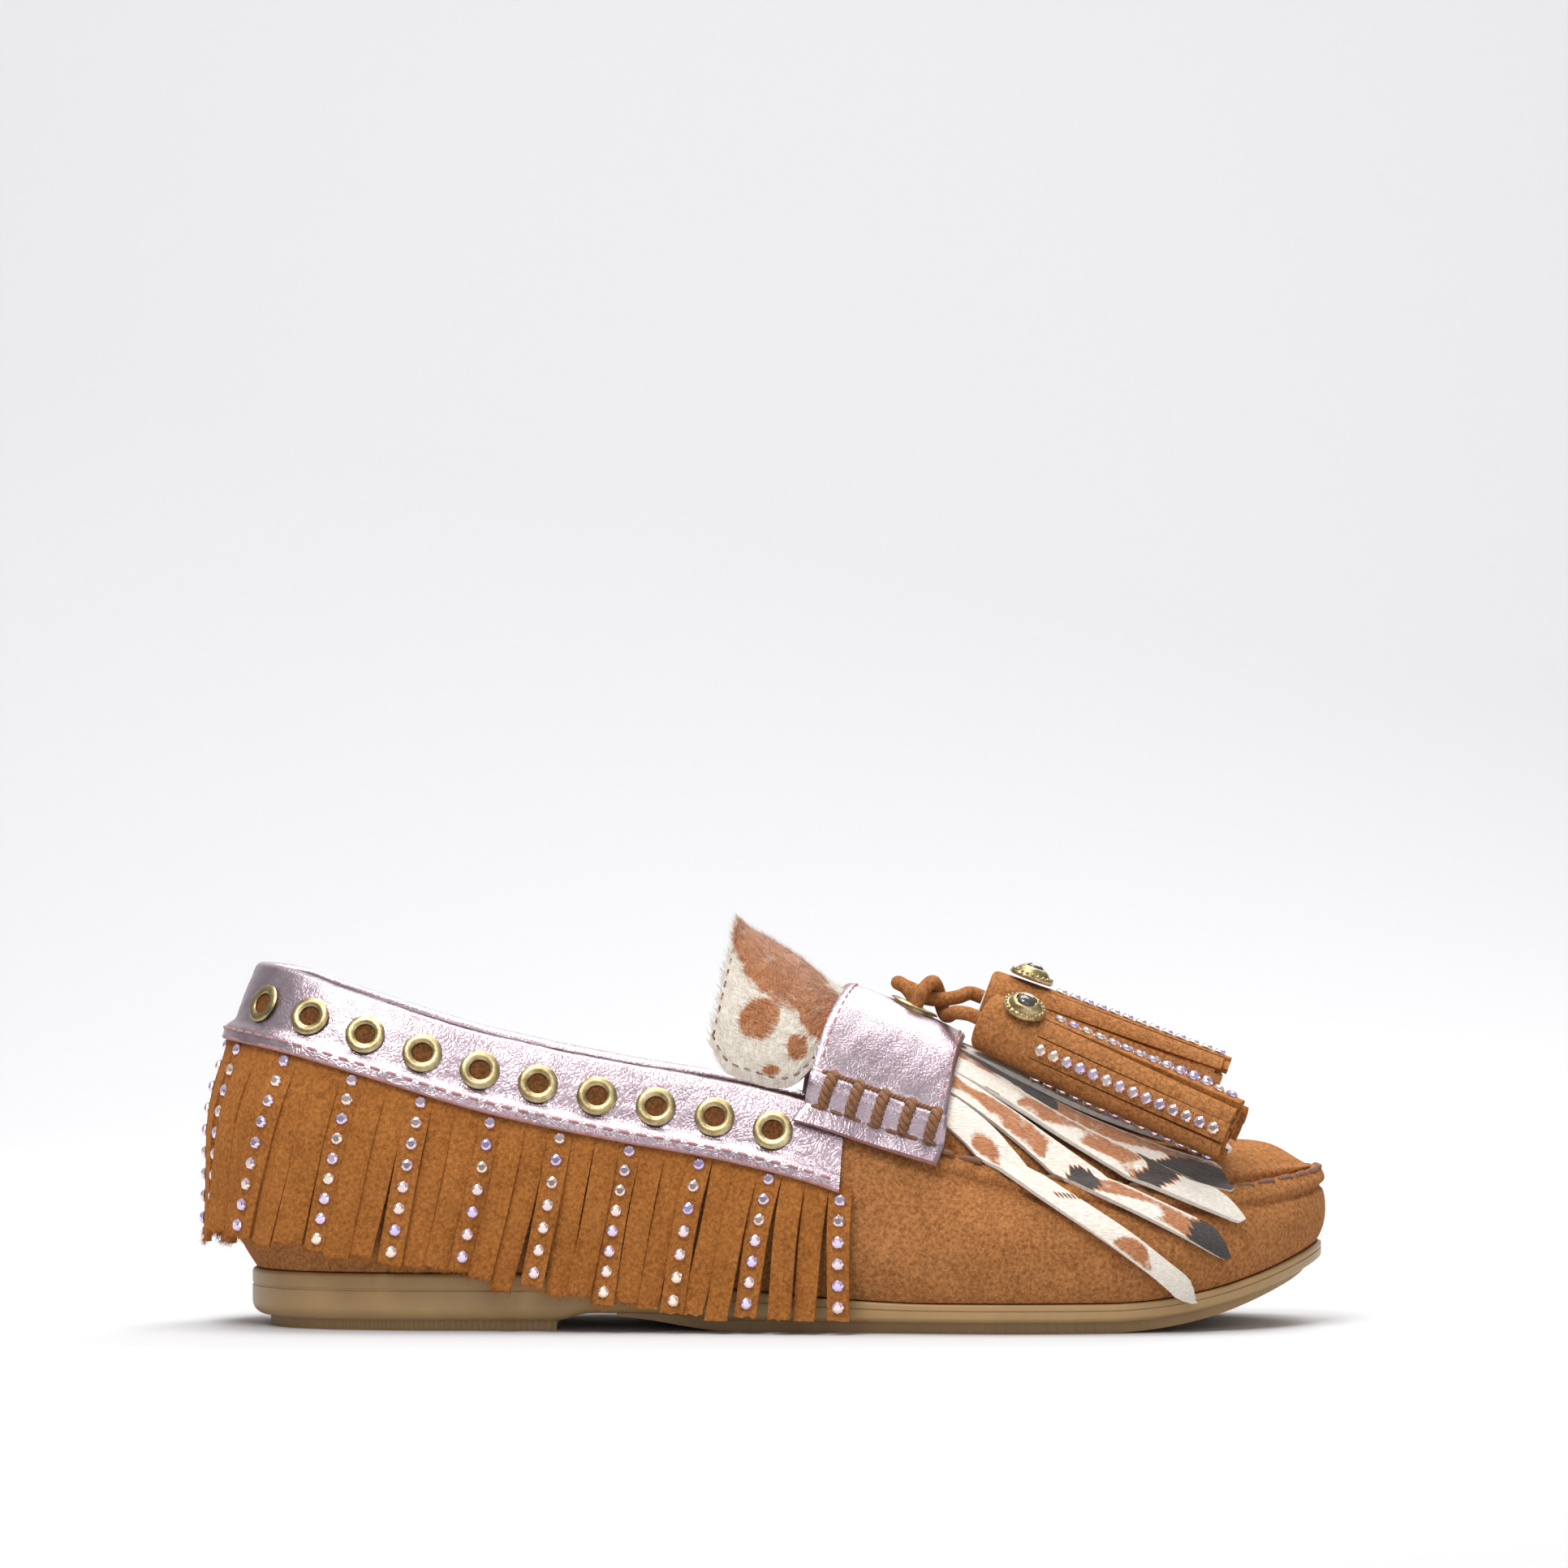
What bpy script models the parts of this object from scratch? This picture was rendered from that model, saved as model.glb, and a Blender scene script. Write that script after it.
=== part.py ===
"""Kiltie loafer for the right foot, in metres: +X to the toe, +Z up, the outer side towards -Y.

The origin lies on the floor under the middle of the heel tread. Every piece of leather is worked out
from one last: an outline seen from above, a side wall over it and an apron across the forefoot.
An angle runs round the shoe, 0 at the heel, pi at the toe, with the outer side between them.
"""
import bpy
import bmesh
import numpy as np
from mathutils import Matrix, Vector

# Main sizes of the shoe
SOLE_LENGTH = 0.255
BALL_WIDTH = 0.088
HEEL_SETBACK = 0.0388     # from the middle of the heel tread to the back of the sole
BACK_HEIGHT = 0.0845      # top line of the suede at the heel
INSTEP_RISE = 0.0280      # crown of the apron above its seams, at the strap

# Outsole
SOLE_HEEL = 0.0135
SOLE_FORE = 0.0070
SOLE_ROUND = 0.0030
TREAD_DEPTH = 0.0025
TREAD_INSET = 0.0045
ARCH_RISE = 0.0042
HEEL_TREAD = 0.0343       # from the origin to the breast of the heel tread
TOE_SPRING = 0.0125

# Leather, suede and foam
GAP = 0.0003              # clearance between two pieces that lie on each other
UPPER_WALL = 0.0018
INSOLE_THICK = 0.0030
BAND_THICK = 0.0012
STRAP_THICK = 0.0015
TONGUE_THICK = 0.0014
KILTIE_THICK = 0.0012
FRINGE_THICK = 0.0013
FEATHER_INSET = 0.0010    # the suede's lower edge, inside the edge of the sole
RIDGE_HEIGHT = 0.0013
RIDGE_WIDTH = 0.0032
SEAM_REACH = 0.030        # run of the side wall below the seam for one unit across

# Collar band and eyelets
BAND_DROP = 0.0170
BAND_LINING = 0.0100
BAND_SETBACK = 0.0012     # from the band's front end to the throat's edge
EYELET_COUNT = 10         # on each side
EYELET_START = 0.0165     # from the heel's middle to the first eyelet
EYELET_END = 0.0168       # from the last eyelet to the band's front end
EYELET_DROP = 0.0078
EYELET_WIDTH = 0.0094
EYELET_HOLE = 0.0050
EYELET_RIM = 0.0007
EYELET_BARREL = 0.0005
EYELET_CUP = 0.0002       # hollow under the rim and bevel at the barrel's foot
STRAP_EYELET_WIDTH = 0.0122
STRAP_EYELET_HOLE = 0.0094

# Fringe round the heel and sides
FRINGE_PITCH = 0.0056
FRINGE_SLIT = 0.0004
FRINGE_COUNT = 30         # strips on each side of the heel seam
FRINGE_TUCK = 0.0020      # how far it goes up under the band
FRINGE_FLOAT = 0.0018     # how far the cut ends stand off the wall
FRINGE_LEAN = 0.20        # backward lean of the strips, run over drop

# Strap, tongue and kiltie
STRAP_FLAP = 0.0048          # beyond the seam
ROLL_HEIGHT = 0.0022
ROLL_PLACE = 0.0015
TONGUE_TUCK = 0.0056
KILTIE_LIFT = 0.0021
KILTIE_STRIP = 0.0050
KILTIE_ROOT_STRIP = 0.0041

# Thongs, tassels and their bosses
THONG_WIDTH = 0.0034
THONG_LEAD = 0.0030       # straight run into the tassel's butt
TASSEL_CAP = 0.0150       # length of the uncut cap
TASSEL_RADIUS = 0.0072
TASSEL_STRIPS = 8
TASSEL_SLIT = 0.0030
BOSS_LENGTH = 0.0107
BOSS_WIDTH = 0.0084
BOSS_HEIGHT = 0.0030
STONE_WIDTH = 0.0044

# Plan of the sole: share of the length from the back, half widths in ball widths
SOLE_PLAN = (
    # share, outer, inner
    (0.000, 0.000, 0.000),
    (0.040, 0.262, 0.258),
    (0.120, 0.352, 0.342),
    (0.250, 0.372, 0.345),
    (0.420, 0.394, 0.312),
    (0.560, 0.456, 0.372),
    (0.700, 0.508, 0.492),
    (0.820, 0.462, 0.500),
    (0.920, 0.325, 0.425),
    (0.975, 0.140, 0.305),
    (1.000, -0.085, 0.085),
)

# Side wall: height of its top edge in back heights; bulge over the sole and inset of the top edge
# in ball widths; widest is the share of the height at which it bulges most
WALL = (
    # share, height, bulge, inset_outer, inset_inner, widest
    (0.000, 1.000, 0.082, 0.026, 0.026, 0.42),
    (0.040, 0.970, 0.062, 0.072, 0.070, 0.42),
    (0.120, 0.898, 0.034, 0.072, 0.062, 0.40),
    (0.220, 0.808, 0.028, 0.060, 0.040, 0.38),
    (0.340, 0.731, 0.026, 0.050, 0.022, 0.36),
    (0.450, 0.672, 0.026, 0.050, 0.020, 0.34),
    (0.520, 0.618, 0.024, 0.062, 0.032, 0.33),
    (0.580, 0.554, 0.022, 0.086, 0.060, 0.32),
    (0.640, 0.497, 0.020, 0.110, 0.092, 0.32),
    (0.720, 0.436, 0.018, 0.128, 0.120, 0.33),
    (0.820, 0.405, 0.016, 0.120, 0.120, 0.36),
    (0.920, 0.392, 0.014, 0.085, 0.090, 0.42),
    (0.970, 0.414, 0.013, 0.050, 0.056, 0.45),
    (1.000, 0.438, 0.012, 0.028, 0.028, 0.45),
)

# Apron: height of its crown above the seams, in instep rises
APRON = (
    # share, crown
    (0.000, 1.000),
    (0.500, 1.000),
    (0.580, 0.985),
    (0.640, 0.885),
    (0.720, 0.705),
    (0.770, 0.580),
    (0.820, 0.470),
    (0.870, 0.395),
    (0.920, 0.362),
    (0.970, 0.236),
    (1.000, 0.000),
)

# Fringe: height of its cut ends above the floor, in back heights
FRINGE_ENDS = (
    # share, height
    (0.000, 0.254),
    (0.060, 0.243),
    (0.150, 0.203),
    (0.240, 0.152),
    (0.310, 0.112),
    (0.360, 0.080),
    (0.450, 0.050),
    (0.520, 0.038),
    (1.000, 0.038),
)

# Tongue above the throat: place and height of its crown, and of its side edges
TONGUE = (
    # crown_share, crown_height, edge_share, edge_height, width
    (0.5120, 1.030, 0.5000, 0.675, 1.00),
    (0.4830, 1.085, 0.4660, 0.690, 0.99),
    (0.4620, 1.120, 0.4400, 0.725, 0.96),
    (0.4540, 1.138, 0.4270, 0.800, 0.86),
)

# Kiltie strips: place of the root and tip across the shoe (1 is the seam), and the tip's share
KILTIE_STRIPS = (
    # root, tip, tip_share
    (-0.82, -1.80, 0.868),
    (-0.67, -1.44, 0.895),
    (-0.52, -1.20, 0.910),
    (-0.37, -0.98, 0.918),
    (-0.22, -0.66, 0.922),
    (-0.08, -0.30, 0.925),
    (0.08, 0.06, 0.922),
    (0.22, 0.42, 0.924),
    (0.37, 0.78, 0.920),
    (0.52, 1.12, 0.908),
    (0.67, 1.40, 0.890),
    (0.82, 1.74, 0.866),
)
KILTIE_ROOT = 0.610
KILTIE_SLITS = 0.690

# Stations of the upper as shares of the length
THROAT = 0.540
RIDGE_START = 0.600
RIDGE_FULL = 0.660
SPRING_START = 0.790
STRAP_BACK_CENTRE = 0.550
STRAP_BACK_END = 0.512
STRAP_FRONT_CENTRE = 0.652
STRAP_FRONT_END = 0.636
STRAP_EYELET_PLACE = 0.604
TONGUE_FOOT = 0.598

# Tassel axes: butt and end, as offsets from the strap's eyelet in sole lengths, ball widths, back heights
TASSELS = {
    "outer": ((0.0666, -0.1059, -0.0135), (0.2964, -0.2832, -0.3259)),
    "inner": ((0.0693, 0.1055, 0.0434), (0.2925, 0.0918, -0.2040)),
}
# Angle of each boss round its tassel, from straight up towards the outer side
BOSS_TILT = {"outer": 0.55, "inner": 0.05}

COLUMNS = 60              # columns of the upper round the shoe
PUNCH_SIDES = 8           # sides of a punched hole, hidden under an eyelet's rim

# Colours: base colour, roughness, metallic
FINISHES = {
    "outsole_rubber": ((0.37, 0.22, 0.10), 0.45, 0.0),
    "tan_suede": ((0.45, 0.18, 0.05), 0.95, 0.0),
    "fringe_suede": ((0.38, 0.12, 0.03), 0.95, 0.0),
    "pink_metallic": ((0.72, 0.52, 0.60), 0.32, 0.8),
    "cow_hair": ((0.85, 0.75, 0.60), 0.60, 0.0),
    "insole_leather": ((0.60, 0.36, 0.20), 0.60, 0.0),
    "antique_brass": ((0.55, 0.43, 0.20), 0.30, 1.0),
    "smoky_stone": ((0.10, 0.09, 0.08), 0.08, 0.0),
}


def clear_scene():
    """Remove every object of the starting scene."""
    for thing in list(bpy.data.objects):
        bpy.data.objects.remove(thing, do_unlink=True)


def finish(name):
    """The material of one finish, made once."""
    found = bpy.data.materials.get(name)
    if found:
        return found
    colour, roughness, metallic = FINISHES[name]
    material = bpy.data.materials.new(name)
    material.use_nodes = True
    shader = material.node_tree.nodes["Principled BSDF"]
    shader.inputs["Base Color"].default_value = (*colour, 1.0)
    shader.inputs["Roughness"].default_value = roughness
    shader.inputs["Metallic"].default_value = metallic
    return material


def through(places, values, wanted):
    """Smooth curve through rising places: a cubic on each span, with the slopes of its neighbours."""
    places = np.asarray(places, float)
    values = np.asarray(values, float)
    spans = np.diff(places)
    steps = np.diff(values) / spans
    slopes = np.empty_like(values)
    slopes[1:-1] = (steps[:-1] * spans[1:] + steps[1:] * spans[:-1]) / (spans[:-1] + spans[1:])
    slopes[0] = steps[0]
    slopes[-1] = steps[-1]
    wanted = np.clip(wanted, places[0], places[-1])
    span = np.clip(np.searchsorted(places, wanted, side="right") - 1, 0, len(spans) - 1)
    width = spans[span]
    u = (wanted - places[span]) / width
    return (values[span] * (1 + 2 * u) * (1 - u) ** 2 + values[span + 1] * (3 - 2 * u) * u ** 2
            + slopes[span] * width * u * (1 - u) ** 2 - slopes[span + 1] * width * u ** 2 * (1 - u))


def share_at(angle):
    """Share of the sole's length at an angle round the shoe."""
    return (1 - np.cos(angle)) / 2


def angle_at(share):
    """Angle on the outer side at a share of the sole's length."""
    return np.arccos(1 - 2 * np.asarray(share, float))


def around(rows, outer, inner, angle):
    """Value of two table columns round the shoe: the outer side's, then the inner side's back to the heel."""
    turns = [angle_at(row[0]) for row in rows]
    places = turns + [2 * np.pi - turn for turn in turns[-2::-1]]
    values = [row[outer] for row in rows] + [row[inner] for row in rows[-2::-1]]
    lap = 2 * np.pi
    before = [place - lap for place in places[-3:-1]]
    after = [place + lap for place in places[1:3]]
    return through(before + places + after, values[-3:-1] + values + values[1:3], np.mod(angle, lap))


def along(rows, column, share):
    """Value of one table column at a share of the length."""
    return through([row[0] for row in rows], [row[column] for row in rows], share)


def ease(start, stop, value):
    """0 before start, 1 after stop and a soft S between them."""
    u = np.clip((value - start) / (stop - start), 0, 1)
    return u * u * (3 - 2 * u)


def outline(angle, out=0.0):
    """Plan point of the sole's edge at an angle, moved outwards square to the edge."""
    angle = np.asarray(angle, float)

    def edge(turn):
        outer = -BALL_WIDTH * around(SIGNED_PLAN, 1, 2, turn)
        return np.stack([SOLE_LENGTH * share_at(turn) - HEEL_SETBACK, outer], axis=-1)

    small = 1e-4
    course = edge(angle + small) - edge(angle - small)
    course /= np.linalg.norm(course, axis=-1, keepdims=True)
    square = np.stack([course[..., 1], -course[..., 0]], axis=-1)
    return edge(angle) + square * np.asarray(out)[..., None]


SIGNED_PLAN = [(share, outer, -inner) for share, outer, inner in SOLE_PLAN]


def spring(share):
    """Lift of the sole towards the toe."""
    return TOE_SPRING * np.clip((share - SPRING_START) / (1 - SPRING_START), 0, 1) ** 2


def breast_share():
    """Share of the length at the front of the heel tread."""
    return (HEEL_SETBACK + HEEL_TREAD) / SOLE_LENGTH


def sole_top(share):
    """Height of the sole's upper edge: thick at the heel, thin from the ball, lifted at the toe."""
    return SOLE_FORE + (SOLE_HEEL - SOLE_FORE) * (1 - ease(0.24, 0.64, share)) + spring(share)


def sole_floor(share):
    """Height of the sole's body above the floor, between the tread plates."""
    breast = breast_share()
    arch = ease(breast, breast + 0.03, share) * (1 - ease(breast + 0.07, breast + 0.18, share))
    return TREAD_DEPTH + (ARCH_RISE - TREAD_DEPTH) * arch + spring(share)


def wall_top(angle):
    """Height of the upper's top edge or apron seam."""
    return BACK_HEIGHT * around(WALL, 1, 1, angle)


def wall_base(angle, rise, hang=False):
    """Point of the side wall, rise 0 at the sole and 1 at its top edge.

    Outwards it swells from the feather edge to the widest level, then leans in by the square of the
    height above that level. A hanging sheet keeps the widest level's place below it.
    """
    angle, rise = np.broadcast_arrays(np.asarray(angle, float), np.asarray(rise, float))
    share = share_at(angle)
    low = sole_top(share) + GAP
    high = wall_top(angle)
    bulge = BALL_WIDTH * around(WALL, 2, 2, angle)
    inset = BALL_WIDTH * around(WALL, 3, 4, angle)
    widest = around(WALL, 5, 5, angle)
    below = np.clip(1 - rise / widest, 0, 1) * (0 if hang else 1)
    above = np.clip((rise - widest) / (1 - widest), 0, 1)
    out = bulge - (bulge + FEATHER_INSET) * below ** 2.5 - (bulge + inset) * above ** 2
    plan = outline(angle, out)
    return np.concatenate([plan, (low + (high - low) * rise)[..., None]], axis=-1)


def wall(angle, rise, proud=0.0, hang=False):
    """Point of the side wall, moved outwards square to its surface."""
    small = 1e-3
    sideways = wall_base(angle + small, rise, hang) - wall_base(angle - small, rise, hang)
    up = wall_base(angle, rise + small, hang) - wall_base(angle, rise - small, hang)
    square = np.cross(sideways, up)
    square /= np.linalg.norm(square, axis=-1, keepdims=True)
    return wall_base(angle, rise, hang) + square * np.asarray(proud)[..., None]


def rise_at(angle, drop):
    """Rise of the wall's point that lies a drop below the top edge."""
    low = sole_top(share_at(angle)) + GAP
    return 1 - drop / (wall_top(angle) - low)


def skin_base(share, across):
    """Point of the forefoot's surface at a station, across -1 and 1 at the seams and 0 on the crown.

    Between the seams it is the apron, an arch (1 - |t|^2.4)^0.8 over the line from seam to seam.
    Beyond them it is the side wall, and one unit of across is a fixed drop below the seam.
    """
    share, across = np.broadcast_arrays(np.asarray(share, float), np.asarray(across, float))
    outer = angle_at(share)
    inner = 2 * np.pi - outer
    left = wall_base(outer, 1.0)
    right = wall_base(inner, 1.0)
    t = np.clip(across, -1, 1)
    mix = ((1 + t) / 2)[..., None]
    point = left * (1 - mix) + right * mix
    crown = INSTEP_RISE * along(APRON, 1, share)
    point[..., 2] += crown * (1 - np.abs(t) ** 2.4) ** 0.8
    drop = np.maximum(np.abs(across) - 1, 0) * SEAM_REACH
    beyond_left = wall_base(outer, rise_at(outer, drop))
    beyond_right = wall_base(inner, rise_at(inner, drop))
    point = np.where((across < -1)[..., None], beyond_left, point)
    return np.where((across > 1)[..., None], beyond_right, point)


def skin(share, across, proud=0.0):
    """Point of the forefoot's surface, moved outwards square to it, with the seam's corner softened."""
    forward = skin_base(share + 2e-3, across) - skin_base(share - 2e-3, across)
    sideways = skin_base(share, across + 0.06) - skin_base(share, across - 0.06)
    square = np.cross(forward, sideways)
    square /= np.linalg.norm(square, axis=-1, keepdims=True)
    return skin_base(share, across) + square * np.asarray(proud)[..., None]


def add_object(name, mesh, colour):
    """Link a mesh as a named object with its finish."""
    thing = bpy.data.objects.new(name, mesh)
    bpy.context.collection.objects.link(thing)
    mesh.materials.append(finish(colour))
    return thing


def add_mesh(name, points, faces, colour, merge=0.0):
    """Object from points and faces, shaded smooth with sharp corners kept."""
    mesh = bpy.data.meshes.new(name)
    mesh.from_pydata([tuple(point) for point in np.asarray(points, float)], [], faces)
    if merge:
        shape = bmesh.new()
        shape.from_mesh(mesh)
        bmesh.ops.remove_doubles(shape, verts=shape.verts, dist=merge)
        bmesh.ops.dissolve_degenerate(shape, edges=shape.edges, dist=merge)
        bmesh.ops.recalc_face_normals(shape, faces=shape.faces)
        shape.to_mesh(mesh)
        shape.free()
    mesh.shade_smooth()
    mesh.set_sharp_from_angle(angle=0.7)
    return add_object(name, mesh, colour)


def thicken(name, near, far, faces, colour):
    """Closed leather piece between a near and a far skin that share their faces: a rim joins the open edges."""
    count = len(near)
    points = np.concatenate([far, near])
    solid = [tuple(face) for face in faces]
    solid += [tuple(count + corner for corner in reversed(face)) for face in faces]
    edges = {}
    for face in faces:
        for first, second in zip(face, face[1:] + face[:1]):
            edges[(first, second)] = True
    for first, second in list(edges):
        if (second, first) not in edges:
            solid.append((second, first, count + first, count + second))
    return add_mesh(name, points, solid, colour)


def grid_faces(rows, columns, present=None, closed=False):
    """Quads of a grid of points, row by row, with the cells that a mask leaves out open."""
    faces = []
    for row in range(rows - 1):
        for column in range(columns if closed else columns - 1):
            if present is None or present[row][column]:
                after = (column + 1) % columns
                faces.append((row * columns + column, row * columns + after,
                              (row + 1) * columns + after, (row + 1) * columns + column))
    return faces


def keep_used(near, far, faces):
    """Drop the grid points that no face uses."""
    used = sorted({corner for face in faces for corner in face})
    place = {old: new for new, old in enumerate(used)}
    return near[used], far[used], [tuple(place[corner] for corner in face) for face in faces]


def ladder(lap, base, flip):
    """Faces across a ring of points, rung by rung from the heel to the toe."""
    faces = [(base, base + 1, base + lap - 1)]
    for step in range(1, lap // 2 - 1):
        faces.append((base + step, base + step + 1, base + lap - step - 1, base + lap - step))
    half = lap // 2
    faces.append((base + half - 1, base + half, base + half + 1))
    return [tuple(reversed(face)) for face in faces] if flip else faces


def stack(name, rings, colour):
    """Solid of outline rings from the bottom up; each ring is an outward offset and a height by share."""
    turns = np.arange(COLUMNS) * 2 * np.pi / COLUMNS
    share = share_at(turns)
    layers = []
    for out, height in rings:
        plan = outline(turns, np.full(COLUMNS, out))
        layers.append(np.column_stack([plan, height(share)]))
    faces = grid_faces(len(rings), COLUMNS, closed=True)
    faces += ladder(COLUMNS, 0, flip=True)
    faces += ladder(COLUMNS, (len(rings) - 1) * COLUMNS, flip=False)
    return add_mesh(name, np.concatenate(layers), faces, colour)


def tread_plate(name, shares, bottom):
    """Raised tread plate between two stations, let into the body of the sole."""
    outer = angle_at(shares)
    left = outline(outer, np.full(len(shares), -TREAD_INSET))
    right = outline(2 * np.pi - outer, np.full(len(shares), -TREAD_INSET))
    low = bottom(shares)[:, None]
    high = (sole_floor(shares) + TREAD_DEPTH / 2)[:, None]
    corners = [np.hstack([left, low]), np.hstack([right, low]),
               np.hstack([right, high]), np.hstack([left, high])]
    points = np.stack(corners, axis=1).reshape(-1, 3)
    faces = []
    for step in range(len(shares) - 1):
        base = 4 * step
        for side in range(4):
            after = (side + 1) % 4
            faces.append((base + side, base + 4 + side, base + 4 + after, base + after))
    last = 4 * (len(shares) - 1)
    faces += [(0, 1, 2, 3), (last + 3, last + 2, last + 1, last)]
    plate = add_mesh(name, points, faces, "outsole_rubber", merge=1e-6)
    plate.hide_render = True
    plate.display_type = "WIRE"
    return plate


def make_outsole():
    """One rubber moulding: a body with a rounded lower edge, and a heel and a forefoot tread plate."""
    def level(part):
        return lambda share: sole_floor(share) + part * (sole_top(share) - sole_floor(share))

    body = stack("outsole", (
        (-SOLE_ROUND, level(0.0)),
        (-0.35 * SOLE_ROUND, level(0.10)),
        (0.0, level(0.35)),
        (0.0, level(0.88)),
        (-0.2 * SOLE_ROUND, level(1.0)),
    ), "outsole_rubber")
    breast = breast_share()
    heel_turns = np.linspace(0, angle_at(breast), 13)
    heel = tread_plate("heel_plate", share_at(heel_turns), lambda share: 0 * share)
    fore_turns = np.linspace(angle_at(breast + 0.055), np.pi, 20)

    def fore_floor(share):
        return 0.8 * ARCH_RISE * (1 - ease(breast + 0.05, breast + 0.16, share)) + spring(share)

    fore = tread_plate("forefoot_plate", share_at(fore_turns), fore_floor)
    for plate in (heel, fore):
        join = body.modifiers.new(plate.name, "BOOLEAN")
        join.operation = "UNION"
        join.solver = "EXACT"
        join.object = plate
    return body


def make_insole():
    """Padded sock that lies on the sole, inside the foot of the wall."""
    inset = FEATHER_INSET + UPPER_WALL + GAP
    return stack("insole", (
        (-inset - 0.0008, lambda share: sole_top(share) + GAP),
        (-inset, lambda share: sole_top(share) + GAP + 0.3 * INSOLE_THICK),
        (-inset, lambda share: sole_top(share) + GAP + 0.7 * INSOLE_THICK),
        (-inset - 0.0020, lambda share: sole_top(share) + GAP + INSOLE_THICK),
    ), "insole_leather")


def make_upper():
    """Suede shell: side wall all round, apron from the throat to the toe, and the raised seam between them."""
    turns = np.arange(COLUMNS) * 2 * np.pi / COLUMNS
    share = share_at(turns)
    ridge_rows = (RIDGE_WIDTH, 0.86 * RIDGE_WIDTH, 0.30 * RIDGE_WIDTH, 0.0)
    ridge_lift = (0.0, 0.8, 1.0, 0.8)
    lifts = RIDGE_HEIGHT * ease(RIDGE_START, RIDGE_FULL, share)
    outer_rows = []
    inner_rows = []
    foot = rise_at(turns, RIDGE_WIDTH)
    for part in (0.0, 0.10, 0.26, 0.48, 0.72, 0.90):
        outer_rows.append(wall(turns, foot * part))
        inner_rows.append(wall(turns, foot * part, np.full(COLUMNS, -UPPER_WALL)))
    for drop, lift in zip(ridge_rows, ridge_lift):
        outer_rows.append(wall(turns, rise_at(turns, drop), lifts * lift))
        inner_rows.append(wall(turns, rise_at(turns, drop), np.full(COLUMNS, -UPPER_WALL)))
    inner_rows[0][:, 2] = outer_rows[0][:, 2]
    faces = grid_faces(len(outer_rows), COLUMNS, closed=True)
    top = (len(outer_rows) - 1) * COLUMNS
    outer_rows[-1], inner_rows[-1] = seam_corner(turns, lifts, outer_rows[-1], inner_rows[-1])

    first = throat_column()
    half = COLUMNS // 2
    inside = 8
    far = list(outer_rows)
    near = list(inner_rows)
    count = len(outer_rows) * COLUMNS
    rungs = []
    for column in range(first, half):
        span = np.linalg.norm(outer_rows[-1][column, :2] - outer_rows[-1][COLUMNS - column, :2])
        edge = 2 * 0.0014 / max(span, 0.012)
        sweep = -np.cos(np.linspace(0, np.pi, inside))
        across = sweep * (1 - edge)
        places = np.full(inside, share[column])
        far.append(skin(places, across))
        near.append(skin(places, across, np.full(inside, -UPPER_WALL)))
        rungs.append([top + column] + [count + step for step in range(inside)] + [top + COLUMNS - column])
        count += inside
    for low, high in zip(rungs, rungs[1:]):
        for step in range(inside + 1):
            faces.append((low[step], high[step], high[step + 1], low[step + 1]))
    tip = top + half
    last = rungs[-1]
    for step in range(inside + 1):
        faces.append((last[step], tip, last[step + 1]))
    return thicken("upper", np.concatenate(near), np.concatenate(far), faces, "tan_suede")


def seam_corner(turns, lifts, outer_row, inner_row):
    """Top row of the wall where the apron joins it, set square to both surfaces."""
    share = share_at(turns)
    side = np.where(np.sin(turns) >= 0, -1.0, 1.0)
    joined = share > share_at(throat_column() * 2 * np.pi / COLUMNS) + 1e-6
    safe = np.clip(share, 0.3, 0.995)
    outer_corner = skin(safe, side, lifts * 0.8)
    inner_corner = skin(safe, side, np.full(len(turns), -UPPER_WALL))
    exact = joined & (share < 0.995)
    outer_new = np.where(exact[:, None], outer_corner, outer_row)
    inner_new = np.where(exact[:, None], inner_corner, inner_row)
    return outer_new, inner_new


def throat_column():
    """Number of the outer column at which the throat's edge crosses and the band ends."""
    return int(np.ceil(angle_at(THROAT) * COLUMNS / (2 * np.pi)))


def band_turns():
    """Angles of the band's columns, the upper's own, from the outer front end round the heel."""
    last = throat_column()
    turns = np.arange(last, -last - 1, -1) * 2 * np.pi / COLUMNS
    turns[0] -= BAND_SETBACK / (SOLE_LENGTH / 2)
    turns[-1] += BAND_SETBACK / (SOLE_LENGTH / 2)
    return turns


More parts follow.
